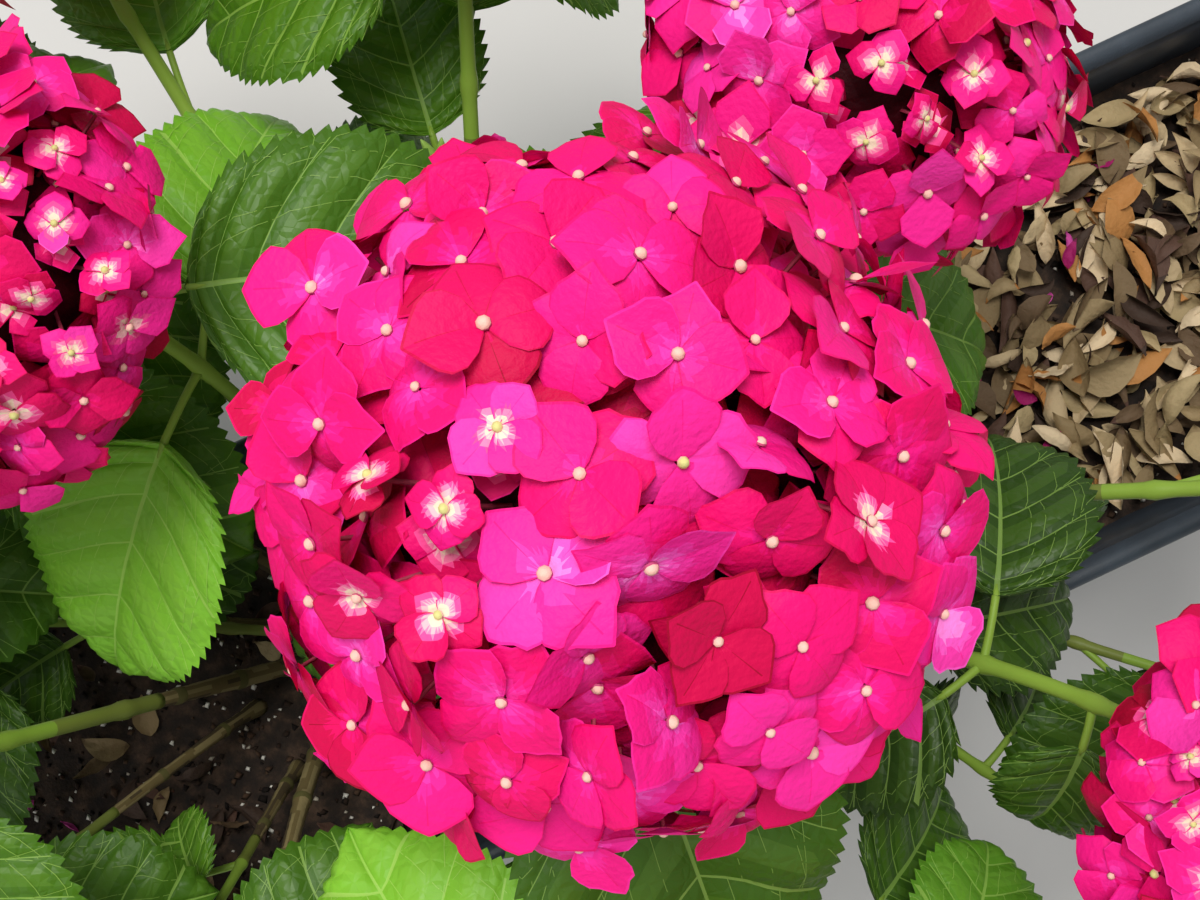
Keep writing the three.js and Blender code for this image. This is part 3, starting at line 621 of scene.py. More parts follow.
def places_on(leaf):
    rim, crest = leaf["rim"], leaf["crest"]
    return np.concatenate([crest[None], rim, (rim + crest) / 2, (rim + np.roll(rim, -1, axis=0)) / 2])


def meets_head(leaf, shoot):
    if not shoot["head"]:
        return False
    points = np.concatenate([places_on(leaf), (leaf["node"] + leaf["base"])[None] / 2])
    away = points - np.array(shoot["tip"])
    height = away @ shoot["axis"]
    level = np.sqrt(np.maximum((away * away).sum(-1) - height ** 2, 0))
    reach = np.where(height > 0, HEAD_TOP, HEAD_SKIRT)
    return (np.hypot(level, height / reach) < shoot["head"] * HEAD_ROOM).any()


def leaves_its_space(leaf):
    points = places_on(leaf)
    x, y, z = points.T
    in_trough = ((np.abs(x) < TROUGH_LENGTH / 2 + RIM_ROOM) & (np.abs(y) < TROUGH_WIDTH / 2 + RIM_ROOM)
                 & (z < TROUGH_HEIGHT + RIM_ROOM))
    bare_end = ((x > BARE_END_LOW[0]) & (x < BARE_END_HIGH[0])
                & (y > BARE_END_LOW[1]) & (y < BARE_END_HIGH[1]))
    if ((z < LOWEST_LEAF) | in_trough | bare_end).any():
        return True
    eye = np.array(CAMERA_PLACE)
    for foot, radius in SHAFTS:
        share = ((z - foot[2]) / (eye[2] - foot[2]))[:, None]
        away = np.linalg.norm(points - (foot + (eye - foot) * share), axis=1)
        if (away < radius * (1 - share[:, 0])).any():
            return True
    return False


def has_room(leaf, others, shoots, lines):
    return not (
        leaves_its_space(leaf)
        or any(meets_head(leaf, shoot) for shoot in shoots)
        or any(leaves_meet(leaf, other) for other in others)
        or meets_limb(leaf, lines)
    )


def grow_leaves(shoots):
    """Leaves pair by pair from the tips down, each where it has room, or left out."""
    lines = limb_lines(shoots)
    draws = [seeded_draws(shoot["index"] + LEAF_SEED) for shoot in shoots]
    grown = []
    for pair in range(max(len(shoot["turns"]) for shoot in shoots)):
        for shoot in shoots:
            if pair >= len(shoot["turns"]):
                continue
            for half in (0, 180):
                leaf = first_that_fits(shoot, pair, half, draws[shoot["index"]], grown, shoots, lines)
                if leaf:
                    leaf["pair"] = pair
                    grown.append(leaf)
    return grown


def first_that_fits(shoot, pair, half, draws, others, shoots, lines):
    azimuth = shoot["turns"][pair] + half + swing(draws) * TURN_JITTER
    length = shoot["blade"] * PAIR_SIZES[pair] * (1 + swing(draws) * SIZE_JITTER)
    pitch = swing(draws) * PITCH_JITTER - PAIR_DROOP[pair]
    roll = swing(draws) * ROLL_JITTER
    distance = shoot["nodes"][pair]
    if distance > shoot["bottom"] - LEAFY_ABOVE:
        return None
    for turn, rise, share in TRIES:
        for way in (1, -1) if turn else (1,):
            leaf = place_leaf(shoot, distance, azimuth + way * turn, length * share, pitch + rise, roll)
            if has_room(leaf, others, shoots, lines):
                return leaf
    return None


# Meshes from arrays

def new_thing(name, data):
    thing = bpy.data.objects.new(name, data)
    bpy.context.collection.objects.link(thing)
    return thing


class Heap:
    """Many small meshes gathered into one, with a material number for each triangle."""

    def __init__(self):
        self.points, self.faces, self.tones, self.count = [], [], [], 0

    def add(self, points, faces, tones=0):
        points = points.reshape(-1, 3)
        self.faces.append(faces + self.count)
        self.points.append(points)
        self.tones.append(np.broadcast_to(np.ravel(tones), len(faces)))
        self.count += len(points)

    def piece(self, name, stands_for, materials):
        """One smooth object that rides the plant in place of the solids it stands for."""
        mesh = bpy.data.meshes.new(name)
        points, faces = np.concatenate(self.points), np.concatenate(self.faces)
        mesh.vertices.add(len(points))
        mesh.vertices.foreach_set("co", points.astype(np.float32).ravel())
        mesh.loops.add(faces.size)
        mesh.loops.foreach_set("vertex_index", faces.astype(np.int32).ravel())
        mesh.polygons.add(len(faces))
        mesh.polygons.foreach_set("loop_start", np.arange(0, faces.size, 3, dtype=np.int32))
        mesh.polygons.foreach_set("material_index", np.concatenate(self.tones).astype(np.int32))
        mesh.polygons.foreach_set("use_smooth", np.ones(len(faces), dtype=bool))
        mesh.update(calc_edges=True)
        for material in materials:
            mesh.materials.append(material)
        thing = new_thing(name, mesh)
        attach(thing, "root")
        if stands_for:
            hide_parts(*stands_for)


def grid_faces(rows, columns, closed=False):
    """Triangles of a grid of points, two for each square in turn. A closed grid is a tube."""
    wide = columns if closed else columns - 1
    row, column = np.meshgrid(np.arange(rows - 1), np.arange(wide), indexing="ij")
    here = row * columns + column
    beside = row * columns + (column + 1) % columns
    squares = np.stack([here, beside, beside + columns, here + columns], axis=-1).reshape(-1, 4)
    return np.stack([squares[:, [0, 1, 2]], squares[:, [0, 2, 3]]], axis=1).reshape(-1, 3)


def fan(sides, middle, first=0, up=False):
    """Triangles that close a ring of points with a middle one, facing down or up."""
    turn = first + np.arange(sides)
    after = np.roll(turn, -1)
    return np.column_stack([np.full(sides, middle), *((turn, after) if up else (after, turn))])


def copies(faces, count, points):
    """The triangles of a small mesh, repeated for a row of meshes with that many points each."""
    return (faces[None] + (np.arange(count) * points)[:, None, None]).reshape(-1, 3)


def nodes_of(kind, shoots):
    return ["%s_%02d" % (kind, shoot["index"] + 1) for shoot in shoots]


def frames_along(path):
    """Two directions square to the path at each of its points, without a twist between them."""
    ways = unit(np.gradient(path, axis=0))
    first = np.cross(ways[0], [0.31, 0.83, 0.47])
    asides = [first / np.linalg.norm(first)]
    for way in ways[1:]:
        aside = asides[-1] - way * (asides[-1] @ way)
        asides.append(aside / np.linalg.norm(aside))
    asides = np.array(asides)
    return asides, np.cross(ways, asides)


def tube(path, radii, sides):
    """A closed tube. The radii are one for each point of the path, or one for each side too."""
    aside, over = frames_along(path)
    radii = np.broadcast_to(np.reshape(radii, (len(path), -1)), (len(path), sides))
    points = path[:, None] + circle(round_angles(sides), aside[:, None], over[:, None]) * radii[..., None]
    low, high = radii.size, radii.size + 1
    faces = np.concatenate([
        grid_faces(len(path), sides, closed=True), fan(sides, low), fan(sides, high, low - sides, up=True),
    ])
    return np.concatenate([points.reshape(-1, 3), path[:1], path[-1:]]), faces


# Materials

RELIEF_DETAIL = 3
RELIEF_STRENGTH = 0.6
PATTERN_DETAIL = 8
PATTERN_ROUGHNESS = 0.62
PATTERN_SPAN = (0.32, 0.68)


def linear(red, green, blue):
    """A colour from 0 to 255 as the shares of light that a shader takes."""
    shares = np.array([red, green, blue]) / 255
    return np.where(shares <= 0.04045, shares / 12.92, ((shares + 0.055) / 1.055) ** 2.4)


def mixed(one, other, share):
    return tuple(blend(a, b, share) for a, b in zip(one, other))


def new_surface(name, roughness):
    """A new material, with its nodes, its links and its shader."""
    material = bpy.data.materials.new(name)
    material.use_nodes = True
    shader = material.node_tree.nodes["Principled BSDF"]
    shader.inputs["Roughness"].default_value = roughness
    return material, material.node_tree.nodes, material.node_tree.links, shader


def plain_surface(name, colour, roughness, grain, relief, gloss=0.3, quilted=False):
    """One base colour, with a fine relief of the given grain and depth from its nodes."""
    material, nodes, links, shader = new_surface(name, roughness)
    shader.inputs["Base Color"].default_value = (*linear(*colour), 1)
    shader.inputs["Specular IOR Level"].default_value = gloss
    add_relief(nodes, links, shader, grain, relief, quilted)
    return material


def surfaces(name, colours, **look):
    """A plain surface of each colour, numbered from 0."""
    return [plain_surface("%s_%d" % (name, number), colour, **look) for number, colour in enumerate(colours)]


def add_relief(nodes, links, shader, grain, relief, quilted=False):
    """Fine bumps, or for a leaf the small cushions between its finest veins."""
    place = nodes.new("ShaderNodeTexCoord")
    if quilted:
        noise = nodes.new("ShaderNodeTexVoronoi")
        noise.feature = "DISTANCE_TO_EDGE"
    else:
        noise = nodes.new("ShaderNodeTexNoise")
        noise.inputs["Detail"].default_value = RELIEF_DETAIL
    noise.inputs["Scale"].default_value = 1 / grain
    bump = nodes.new("ShaderNodeBump")
    bump.inputs["Strength"].default_value = RELIEF_STRENGTH
    bump.inputs["Distance"].default_value = relief
    links.new(place.outputs["Object"], noise.inputs["Vector"])
    links.new(noise.outputs[0], bump.inputs["Height"])
    links.new(bump.outputs["Normal"], shader.inputs["Normal"])


def patterned_surface(name, colours, roughness, patch, grain, relief):
    """Colours from dark to light in soft patches of the given size, with a fine relief."""
    material, nodes, links, shader = new_surface(name, roughness)
    place = nodes.new("ShaderNodeTexCoord")
    noise = nodes.new("ShaderNodeTexNoise")
    noise.inputs["Scale"].default_value = 1 / patch
    noise.inputs["Detail"].default_value = PATTERN_DETAIL
    noise.inputs["Roughness"].default_value = PATTERN_ROUGHNESS
    ramp = nodes.new("ShaderNodeValToRGB")
    shares = np.linspace(*PATTERN_SPAN, len(colours))
    elements = ramp.color_ramp.elements
    for number, (share, colour) in enumerate(zip(shares, colours)):
        element = elements[number] if number < 2 else elements.new(1)
        element.position = share
        element.color = (*linear(*colour), 1)
    links.new(place.outputs["Object"], noise.inputs["Vector"])
    links.new(noise.outputs[0], ramp.inputs["Fac"])
    links.new(ramp.outputs["Color"], shader.inputs["Base Color"])
    add_relief(nodes, links, shader, grain, relief)
    return material


# Trough

def rounded_outline(length, width, corner):
    """Points round a rectangle, close together in its rounded corners."""
    angles = np.radians(np.linspace(0, 90, 7))
    arc = np.stack([np.cos(angles), np.sin(angles)], axis=1) * corner
    middle = np.array([length / 2 - corner, width / 2 - corner])
    forth, back = middle + arc, middle + arc[::-1]
    corners = [forth, back * [-1, 1], -forth, back * [1, -1]]
    points = []
    for here, there in zip(corners, corners[1:] + corners[:1]):
        gap = there[0] - here[-1]
        steps = max(4, round(np.linalg.norm(gap) / SIDE_STEP))
        points += [here, here[-1] + gap * np.linspace(0, 1, steps + 1)[1:-1, None]]
    return np.concatenate(points)


def trough_profile():
    """Rows of height and inset, up the outside, over the rim and down the inside.

    The step to the rim band and the band's edges are softened by a few points.
    """
    band = TROUGH_HEIGHT - RIM_DEPTH
    foot, inner = RIM_PROUD + TAPER, WALL + INNER_STEP
    rows = [(0, foot + EDGE_ROUND), (0.3 * EDGE_ROUND, foot + 0.3 * EDGE_ROUND), (EDGE_ROUND, foot)]
    rows += [(band * share, RIM_PROUD + TAPER * (1 - share)) for share in np.linspace(0.1, 0.96, 9)]
    rows += [
        (band - 0.002, RIM_PROUD + 0.0004), (band, RIM_PROUD - 0.0006), (band + 0.0006, 0.001),
        (band + 0.0022, 0), (band + 0.012, 0), (TROUGH_HEIGHT - EDGE_ROUND, 0),
    ]
    for angle in np.radians([25, 50, 75, 90]):
        up, out = 1 - math.sin(angle), 1 - math.cos(angle)
        rows.append((TROUGH_HEIGHT - EDGE_ROUND * up, EDGE_ROUND * out))
    for angle in np.radians([70, 45, 20]):
        up, back = 1 - math.sin(angle), math.cos(angle)
        rows.append((TROUGH_HEIGHT - INNER_ROUND * up, inner - INNER_ROUND * back))
    rows += [(TROUGH_HEIGHT - depth, inner + inward(depth)) for depth in (0.008, 0.02, 0.04, 0.07, 0.1)]
    return rows


def inward(depth):
    """How far the taper has drawn the walls in at a depth below the rim."""
    return TAPER * depth / TROUGH_HEIGHT


def make_trough():
    """Moulded trough with a proud rim, a little bowed along its long sides."""
    rings = []
    for height, inset in trough_profile():
        ring = rounded_outline(
            TROUGH_LENGTH - 2 * inset, TROUGH_WIDTH - 2 * inset, max(TROUGH_CORNER - inset, EDGE_ROUND))
        bow = LONG_SIDE_BOW * np.cos(ring[:, 0] / TROUGH_LENGTH * math.pi) * height / TROUGH_HEIGHT
        ring[:, 1] -= np.sign(ring[:, 1]) * bow
        rings.append(np.column_stack([ring, np.full(len(ring), height)]))
    count = min(len(ring) for ring in rings)
    points = np.concatenate([ring[:count] for ring in rings] + [[[0, 0, 0]]])
    heap = Heap()
    heap.add(points, np.concatenate([
        grid_faces(len(rings), count, closed=True), fan(count, len(points) - 1),
    ]))
    slate = patterned_surface(
        "trough_slate", SLATES, roughness=0.5, patch=0.07, grain=0.0014, relief=0.0003)
    heap.piece("trough_shell", ["trough"], [slate])


# Soil, crumbs and dry litter

def soil_height(x, y):
    """The uneven top of the soil, from bumps of three sizes."""
    bumps = (height * rumple(x, y, breadth, seed) for height, breadth, seed in SOIL_BUMPS)
    return sum(bumps, SOIL_TOP - SOIL_SUNK)


def make_soil():
    """A closed bed of soil with an uneven top."""
    heap = Heap()
    inset = WALL + INNER_STEP + inward(SOIL_DEPTH) + SOIL_GAP
    half = np.array([TROUGH_LENGTH / 2 - inset, TROUGH_WIDTH / 2 - inset])
    lines = [np.linspace(-1, 1, count) * reach for count, reach in zip(SOIL_POINTS, half)]
    x, y = np.meshgrid(*lines, indexing="ij")
    top = np.stack([x, y, soil_height(x, y)], axis=-1)
    heap.add(top, grid_faces(*SOIL_POINTS))
    ring = np.concatenate([top[:, 0], top[-1, 1:], top[-2::-1, -1], top[0, -2:0:-1]])
    sides = len(ring)
    shrink = 1 - TAPER / np.array([TROUGH_LENGTH / 2, TROUGH_WIDTH / 2])
    low = np.column_stack([ring[:, :2] * shrink, np.full(sides, SOIL_FOOT)])
    faces = np.concatenate([grid_faces(2, sides, closed=True), fan(sides, 2 * sides)])
    heap.add(np.concatenate([low, ring, [[0, 0, SOIL_FOOT]]]), faces)
    earth = patterned_surface(
        "soil_earth", EARTHS, roughness=0.95, patch=0.012, grain=0.0022, relief=0.0012)
    heap.piece("soil_bed", ["soil"], [earth])


def lumps(places, sizes, rng):
    """Small rough stones of eight faces, a little squashed and turned."""
    corners = np.array([[1, 0, 0], [0, 1, 0], [-1, 0, 0], [0, -1, 0], [0, 0, 1], [0, 0, -1]], float)
    faces = np.concatenate([fan(4, 4, up=True), fan(4, 5)])[:, [1, 2, 0]]
    several = (len(places), len(corners))
    shaped = corners * rng.uniform(*GRIT_REACH, (*several, 1))
    shaped = shaped + rng.uniform(-GRIT_SHIFT, GRIT_SHIFT, (*several, 3))
    shaped[..., 2] *= GRIT_SQUASH
    return places[:, None] + shaped * sizes[:, None, None], copies(faces, *several)


# Crumbs and grains: how many, least and greatest size, where along the trough as shares of its
# half, and numbers of their colours
GRIT_KINDS = [
    (2600, (0.0012, 0.0038), (-1, 1), (0, 1, 2)),
    (620, (0.0009, 0.0024), (-1, -0.05), (3, 3, 4)),
    (160, (0.0009, 0.0022), (-0.05, 1), (3, 4)),
]
GRIT_COLOURS = [(22, 14, 9), (44, 31, 22), (70, 51, 37), (226, 222, 210), (176, 166, 150)]


def make_grit():
    """Crumbs of soil all over, and white grains mostly at the left end."""
    rng = np.random.default_rng(SEEDS["grit"])
    heap = Heap()
    for count, size, reach, tones in GRIT_KINDS:
        x = rng.uniform(*reach, count) * (TROUGH_LENGTH / 2 - GRIT_ROOM[0])
        y = rng.uniform(-1, 1, count) * (TROUGH_WIDTH / 2 - GRIT_ROOM[1])
        sizes = rng.uniform(*size, count)
        places = np.column_stack([x, y, soil_height(x, y) + sizes * GRIT_SEAT])
        points, faces = lumps(places, sizes, rng)
        heap.add(points, faces, np.repeat(rng.choice(tones, count), len(faces) // count))
    crumbs = surfaces("grit", GRIT_COLOURS, roughness=0.9, grain=0.001, relief=0.0003)
    heap.piece("soil_grit", [], crumbs)


LITTER_TONES = [
    (212, 190, 154), (186, 164, 126), (168, 148, 108), (150, 130, 94), (176, 122, 66), (132, 112, 78),
    (114, 94, 66), (98, 78, 56), (84, 60, 48), (62, 46, 36),
]
PETAL_TONES = [(150, 20, 90), (112, 16, 66), (196, 70, 150)]
BROWN, PINK = list(range(10)), [10, 11, 12]
# Dry leaves and sepals: how many, where along the trough, lengths, height of the pile, and numbers
# of their colours, each followed by the one that its ends wither to
LITTER_KINDS = [
    (560, (0.15, 0.565), (0.024, 0.05), 0.022, BROWN),
    (120, (0.15, 0.565), (0.02, 0.04), 0.028, BROWN[:5]),
    (80, (-0.565, -0.2), (0.016, 0.036), 0.006, BROWN[5:]),
    (46, (-0.2, 0.15), (0.014, 0.034), 0.006, BROWN[2:]),
    (30, (0.16, 0.56), (0.014, 0.022), 0.03, PINK),
    (14, (-0.56, 0.16), (0.012, 0.018), 0.008, PINK),
]


def rolled(length, angle):
    """A flat length rolled to an arc of the given whole angle: places along it and their rise."""
    share = np.linspace(-0.5, 0.5, LITTER_ROWS)
    return length * np.sin(share * angle) / angle, length * (1 - np.cos(share * angle)) / angle


def dry_leaf(rng, length, width):
    """A dry leaf, folded along its midrib and curled, with a crumpled face."""
    along, across = np.meshgrid(
        np.linspace(0, 1, LITTER_ROWS), np.linspace(-1, 1, LITTER_COLUMNS), indexing="ij",
    )
    outline = np.interp(along, *LITTER_OUTLINE) * width / 2
    curl = rng.choice([-1, 1], p=CURL_ODDS) * rng.uniform(*LITTER_VARIES["curl"])
    turn = np.abs(across) * curl
    y = np.sign(across) * outline * np.sin(turn) / curl
    lift = outline * (1 - np.cos(turn)) / curl + rng.uniform(*LITTER_VARIES["fold"]) * np.abs(y)
    x, rise = rolled(length, rng.choice([-1, 1]) * rng.uniform(*LITTER_VARIES["roll"]))
    y = y + length * rng.uniform(*LITTER_VARIES["bend"]) * np.sin(math.pi * along)
    lift = lift + rise[:, None] + rng.uniform(-1, 1, along.shape) * LITTER_CRUMPLE
    points = np.stack([np.broadcast_to(x[:, None], y.shape), y, lift], axis=-1).reshape(-1, 3)
    spin = Matrix.Rotation(rng.uniform(0, 2 * math.pi), 3, "Z")
    for tilt, axis in zip(LITTER_TILTS, "XY"):
        spin = spin @ Matrix.Rotation(rng.normal(0, tilt), 3, axis)
    return points @ np.array(spin).T


def make_litter():
    """Dry leaves on the soil, thick at the right end, thin at the left, and some fallen sepals."""
    rng = np.random.default_rng(SEEDS["litter"])
    heap = Heap()
    faces = grid_faces(LITTER_ROWS, LITTER_COLUMNS)
    row = faces[:, 0] // LITTER_COLUMNS
    room = np.array([TROUGH_LENGTH, TROUGH_WIDTH]) / 2 - LITTER_ROOM
    for count, reach, lengths, pile, tones in LITTER_KINDS:
        for _ in range(count):
            length = rng.uniform(*lengths)
            points = dry_leaf(rng, length, length * rng.uniform(*LITTER_WIDTH))
            x = rng.uniform(*reach)
            y = rng.uniform(-1, 1) * (TROUGH_WIDTH / 2 - LITTER_SIDE_ROOM)
            points[:, :2] += np.clip([x, y], -room + length * 0.5, room - length * 0.5)
            ground = soil_height(points[:, 0], points[:, 1]).max()
            points[:, 2] += ground - points[:, 2].min() - LITTER_SUNK + rng.uniform(0, pile)
            tone = rng.integers(len(tones))
            next_tone = tones[min(tone + 1, len(tones) - 1)]
            ends = (row > rng.integers(*WITHERED_TIP)) | (row < rng.integers(*WITHERED_FOOT))
            heap.add(points, faces, np.where(ends, next_tone, tones[tone]))
    withered = surfaces("litter", LITTER_TONES + PETAL_TONES, roughness=0.72, grain=0.0045, relief=0.0022)
    heap.piece("leaf_litter", [], withered)


# Canes and green shoots

def make_canes(shoots):
    """Bare lower canes with ridged bark, swollen nodes and old leaf scars."""
    heap = Heap()
    rng = np.random.default_rng(SEEDS["canes"])
    for shoot in shoots:
        shares = np.linspace(0, shoot["bare"], BARK_RINGS)
        path = shoot["stem"].at(shares)
        path[0, 2] -= CANE_SUNK
        distance = shares * shoot["length"]
        spacing = rng.uniform(*CANE_NODE_SPACING)
        phase = (distance / spacing + rng.uniform()) % 1
        node = np.exp(-(np.minimum(phase, 1 - phase) * spacing / CANE_NODE_HALF) ** 2)[:, None]
        turn = np.arange(BARK_SIDES)[None] * 0.9 + 7 * shoot["index"]
        ridges = rumple(turn, distance[:, None] / BARK_PATCH, 1.0, SEEDS["bark"])
        flakes = rng.uniform(-1, 1, ridges.shape)
        relief = BARK_GIRTH + NODE_RELIEF * node + RIDGE_RELIEF * ridges + FLAKE_RELIEF * flakes
        points, faces = tube(path, stem_radius(shoot, shares)[:, None] * relief, BARK_SIDES)
        tones = np.where(ridges > PALE_RIDGE, 0, np.where(ridges > DARK_RIDGE, 1, 2))
        tones = np.where(node > GREEN_NODE, 3, tones)
        heap.add(points, faces, np.append(np.repeat(tones[:-1], 2), [1] * 2 * BARK_SIDES))
    bark = surfaces("bark", BARK_COLOURS, roughness=0.82, grain=0.0018, relief=0.0006)
    heap.piece("canes_bark", nodes_of("cane", shoots), bark)


def green_shoot(heap, shoot):
    """The leafy length of a stem, browner low down, swollen where each leaf pair grows."""
    start = shoot["bare"]
    inside = shoot["head"] * HEAD_HUB / shoot["length"]
    shares = np.linspace(start - SHOOT_OVERLAP, 1 - inside, SHOOT_RINGS)
    distance = (1 - shares) * shoot["length"]
    radii = stem_radius(shoot, shares)
    for node in shoot["nodes"]:
        radii = radii * (1 + NODE_SWELL * np.exp(-((distance - node) / SHOOT_NODE_HALF) ** 2))
    points, faces = tube(shoot["stem"].at(shares), radii, SHOOT_SIDES)
    old = np.repeat(shares[:-1] < start + OLD_SHARE * (1 - start), 2 * SHOOT_SIDES)
    heap.add(points, faces, np.append(old, [False] * 2 * SHOOT_SIDES))
    if not shoot["head"]:
        add_bud(heap, shoot)


def add_bud(heap, shoot):
    """Two folded young leaves at a growing tip."""
    axis = shoot["axis"]
    side = heading(shoot["turns"][0] + 90, 0)
    for sign in (-1, 1):
        shares = np.linspace(0, 1, BUD_RINGS)
        path = (np.array(shoot["tip"]) - axis * BUD_SUNK + axis * shares[:, None] * BUD_LENGTH
                + side * sign * (BUD_APART + BUD_OPEN * shares[:, None] ** 2))
        radii = BUD_RADIUS * np.sin(math.pi * (0.1 + 0.88 * shares)) ** 0.8
        heap.add(*tube(path, radii, STALK_SIDES), 2)


def petiole(heap, leaf):
    """Leaf stalk, thick at its node, a little arched, that ends under the midrib."""
    shares = np.linspace(0, 1, STALK_RINGS)[:, None]
    arch = np.sin(math.pi * shares) * leaf["length"] * STALK_ARCH
    path = leaf["node"] + (leaf["base"] - leaf["node"]) * shares + UP * arch
    ahead = blade_points(leaf, STALK_END, 0)[None]
    path = np.concatenate([path, ahead - UP * STALK_UNDER])
    radii = PETIOLE_RADIUS * np.interp(np.linspace(0, 1, len(path)), *STALK_GIRTH)
    heap.add(*tube(path, radii, STALK_SIDES))


def make_stems(shoots, leaves):
    heap = Heap()
    for shoot in shoots:
        green_shoot(heap, shoot)
    for leaf in leaves:
        petiole(heap, leaf)
    skins = surfaces("stem", STEM_COLOURS, roughness=0.5, grain=0.002, relief=0.0002)
    heap.piece("green_stems", [], skins)


# Leaf blades

GREENS = [
    (88, 142, 30), (108, 166, 36), (66, 110, 10), (62, 102, 18), (50, 85, 10), (124, 186, 48), (38, 66, 6),
]
PALE_VEIN = (186, 218, 122)
VEIN_SHARE = 0.46
# Lighter green mixed in on the crests between veins: a painted sheen highlight
CREST_SHEEN = (170, 210, 96)
CREST_SHEEN_SHARE = 0.1
# Greens that a spray's leaves draw from, by the number of its shoot and of its leaf pair. Deep greens here
# are painted shade on leaves in the shade, and bright greens are painted light on leaves in the light.
SPRAY_GREENS = {
    (1, 0): (2, 3), (1, 1): (3, 2), (1, 2): (2, 4), (2, 0): (2, 3), (2, 1): (2, 0), (3, 0): (3,),
    (3, 1): (5, 1), (4, 0): (4,), (4, 1): (4, 6), (4, 2): (6,), (5, 0): (1, 5), (6, 0): (5,), (6, 1): (5, 1),
    (7, 0): (3, 2), (7, 2): (4,), (8, 0): (2, 0), (10, 1): (4, 6), (14, 1): (6,), (14, 2): (6,),
    (15, 1): (4,), (15, 2): (4, 6), (17, 0): (4,), (20, 0): (4,), (20, 1): (4,), (22, 0): (2,),
    (22, 1): (3,), (23, 0): (2, 0), (23, 1): (4,),
}
# Greens of the other leaves with a head above them, by pair, deeper for the lower pairs as painted shade
# under the head, and of those without
PAIR_GREENS = [[0, 1, 3, 2], [0, 3, 2, 4], [3, 4, 2, 6], [4, 6, 2, 6]]
SIDE_GREENS = [0, 2, 3, 4, 6]
SIDE_SHARES = [0.2, 0.25, 0.25, 0.2, 0.1]
BLADE_WIDTHS = (
    [0, 0.03, 0.08, 0.16, 0.28, 0.42, 0.56, 0.7, 0.82, 0.91, 0.97, 1],
    [0, 0.3, 0.56, 0.8, 0.95, 1, 0.94, 0.77, 0.52, 0.28, 0.11, 0],
)


def blade_rows(leaf):
    """Rows of a blade: share of its margin, place along it, half-width as a share of the widest,
    whether the row is an edge of a side vein, and where it lies between two of them."""
    half = leaf["length"] * LEAF_WIDTH / 2
    along = np.linspace(0, 1, OUTLINE_STEPS)
    width = np.interp(along, *BLADE_WIDTHS)
    hops = np.hypot(np.diff(along) * leaf["length"], np.diff(width) * half)
    reached = np.concatenate([[0], np.cumsum(hops)])
    toothed = 1 - TOOTHLESS_BASE
    teeth = max(FEWEST_TEETH, round(reached[-1] * toothed / TOOTH_PITCH))
    marks = list(np.linspace(0, TOOTHLESS_BASE, 4)[:-1])
    for tooth in range(teeth):
        marks += [TOOTHLESS_BASE + (tooth + share) / teeth * toothed for share in TOOTH_ROWS]
    veins = np.linspace(FIRST_VEIN, LAST_VEIN, VEIN_PAIRS) ** VEIN_CROWDING
    near = VEIN_HALF / reached[-1]
    pairs = [mark for vein in veins for mark in (vein - near, vein + near)]
    marks = np.array([mark for mark in marks if np.abs(veins - mark).min() > 2 * near] + pairs + [1.0])
    marks.sort()
    is_vein = np.array([np.abs(veins - mark).min() < 1.01 * near for mark in marks])
    tooth_share = np.where(marks < TOOTHLESS_BASE, 0, (marks - TOOTHLESS_BASE) / toothed * teeth % 1)
    height = np.interp(tooth_share, *TOOTH_PROFILE)
    edge = np.interp(marks * reached[-1], reached, along)
    fade = np.clip((1 - edge) * TEETH_FADE, 0, 1)
    outer = np.interp(edge, along, width) + height * TOOTH_DEPTH / half * fade
    ends = np.concatenate([BEYOND_VEINS[:1], veins, BEYOND_VEINS[1:]])
    slot = np.searchsorted(ends, marks) - 1
    between = (marks - ends[slot]) / (ends[slot + 1] - ends[slot])
    return marks, edge, np.maximum(outer, THINNEST_ROW), is_vein, between


def blade(leaf, rng):
    """A serrate blade, its rows running along arched side veins, puckered between them.

    Its strips are plain, crests between veins with a painted sheen highlight, or veins.
    """
    marks, edge, outer, is_vein, between = blade_rows(leaf)
    half = leaf["length"] * LEAF_WIDTH / 2
    rib = np.minimum(MIDRIB_HALF * (1.2 - 0.85 * edge) / half / outer, 0.3)
    steps = np.column_stack([rib, *[np.full(len(marks), step) for step in BLADE_COLUMNS]])
    columns = np.column_stack([-steps[:, ::-1], np.zeros(len(marks)), steps])
    out_share = np.abs(columns)
    root = edge - VEIN_SLANT * np.sin(math.pi * edge)
    along = root[:, None] + (edge - root)[:, None] * out_share ** VEIN_ARCH
    out = columns * outer[:, None]
    lift = blade_lift(leaf, along, columns, between, rng)
    points = blade_points(leaf, along, out, lift)
    rows, wide = columns.shape
    faces = grid_faces(rows, wide)
    strips = np.zeros((rows - 1, wide - 1), dtype=int)
    # Crests between the veins take the painted sheen highlight
    crest = (between[1:] > SHEEN_BETWEEN[0]) & (between[1:] < SHEEN_BETWEEN[1])
    strips[crest, 2:-2] = SHEEN_STRIP
    middle = (wide - 1) // 2
    strips[:, middle - 1:middle + 1] = VEIN_STRIP
    vein_rows = is_vein[:-1] & is_vein[1:] & (np.diff(marks) < 4 * VEIN_HALF / leaf["length"])
    strips[vein_rows, 1:-1] = VEIN_STRIP
    return points, faces, np.repeat(strips.ravel(), 2), np.flatnonzero(is_vein)[::2]


def on_grid(grid, row, column):
    """Places between the points of a grid, by row and column numbers with fractions."""
    low = np.minimum(np.floor(row).astype(int), grid.shape[0] - 2)
    left = np.minimum(np.floor(column).astype(int), grid.shape[1] - 2)
    aside = (column - left)[..., None]
    near = blend(grid[low, left], grid[low, left + 1], aside)
    far = blend(grid[low + 1, left], grid[low + 1, left + 1], aside)
    return blend(near, far, (row - low)[..., None])


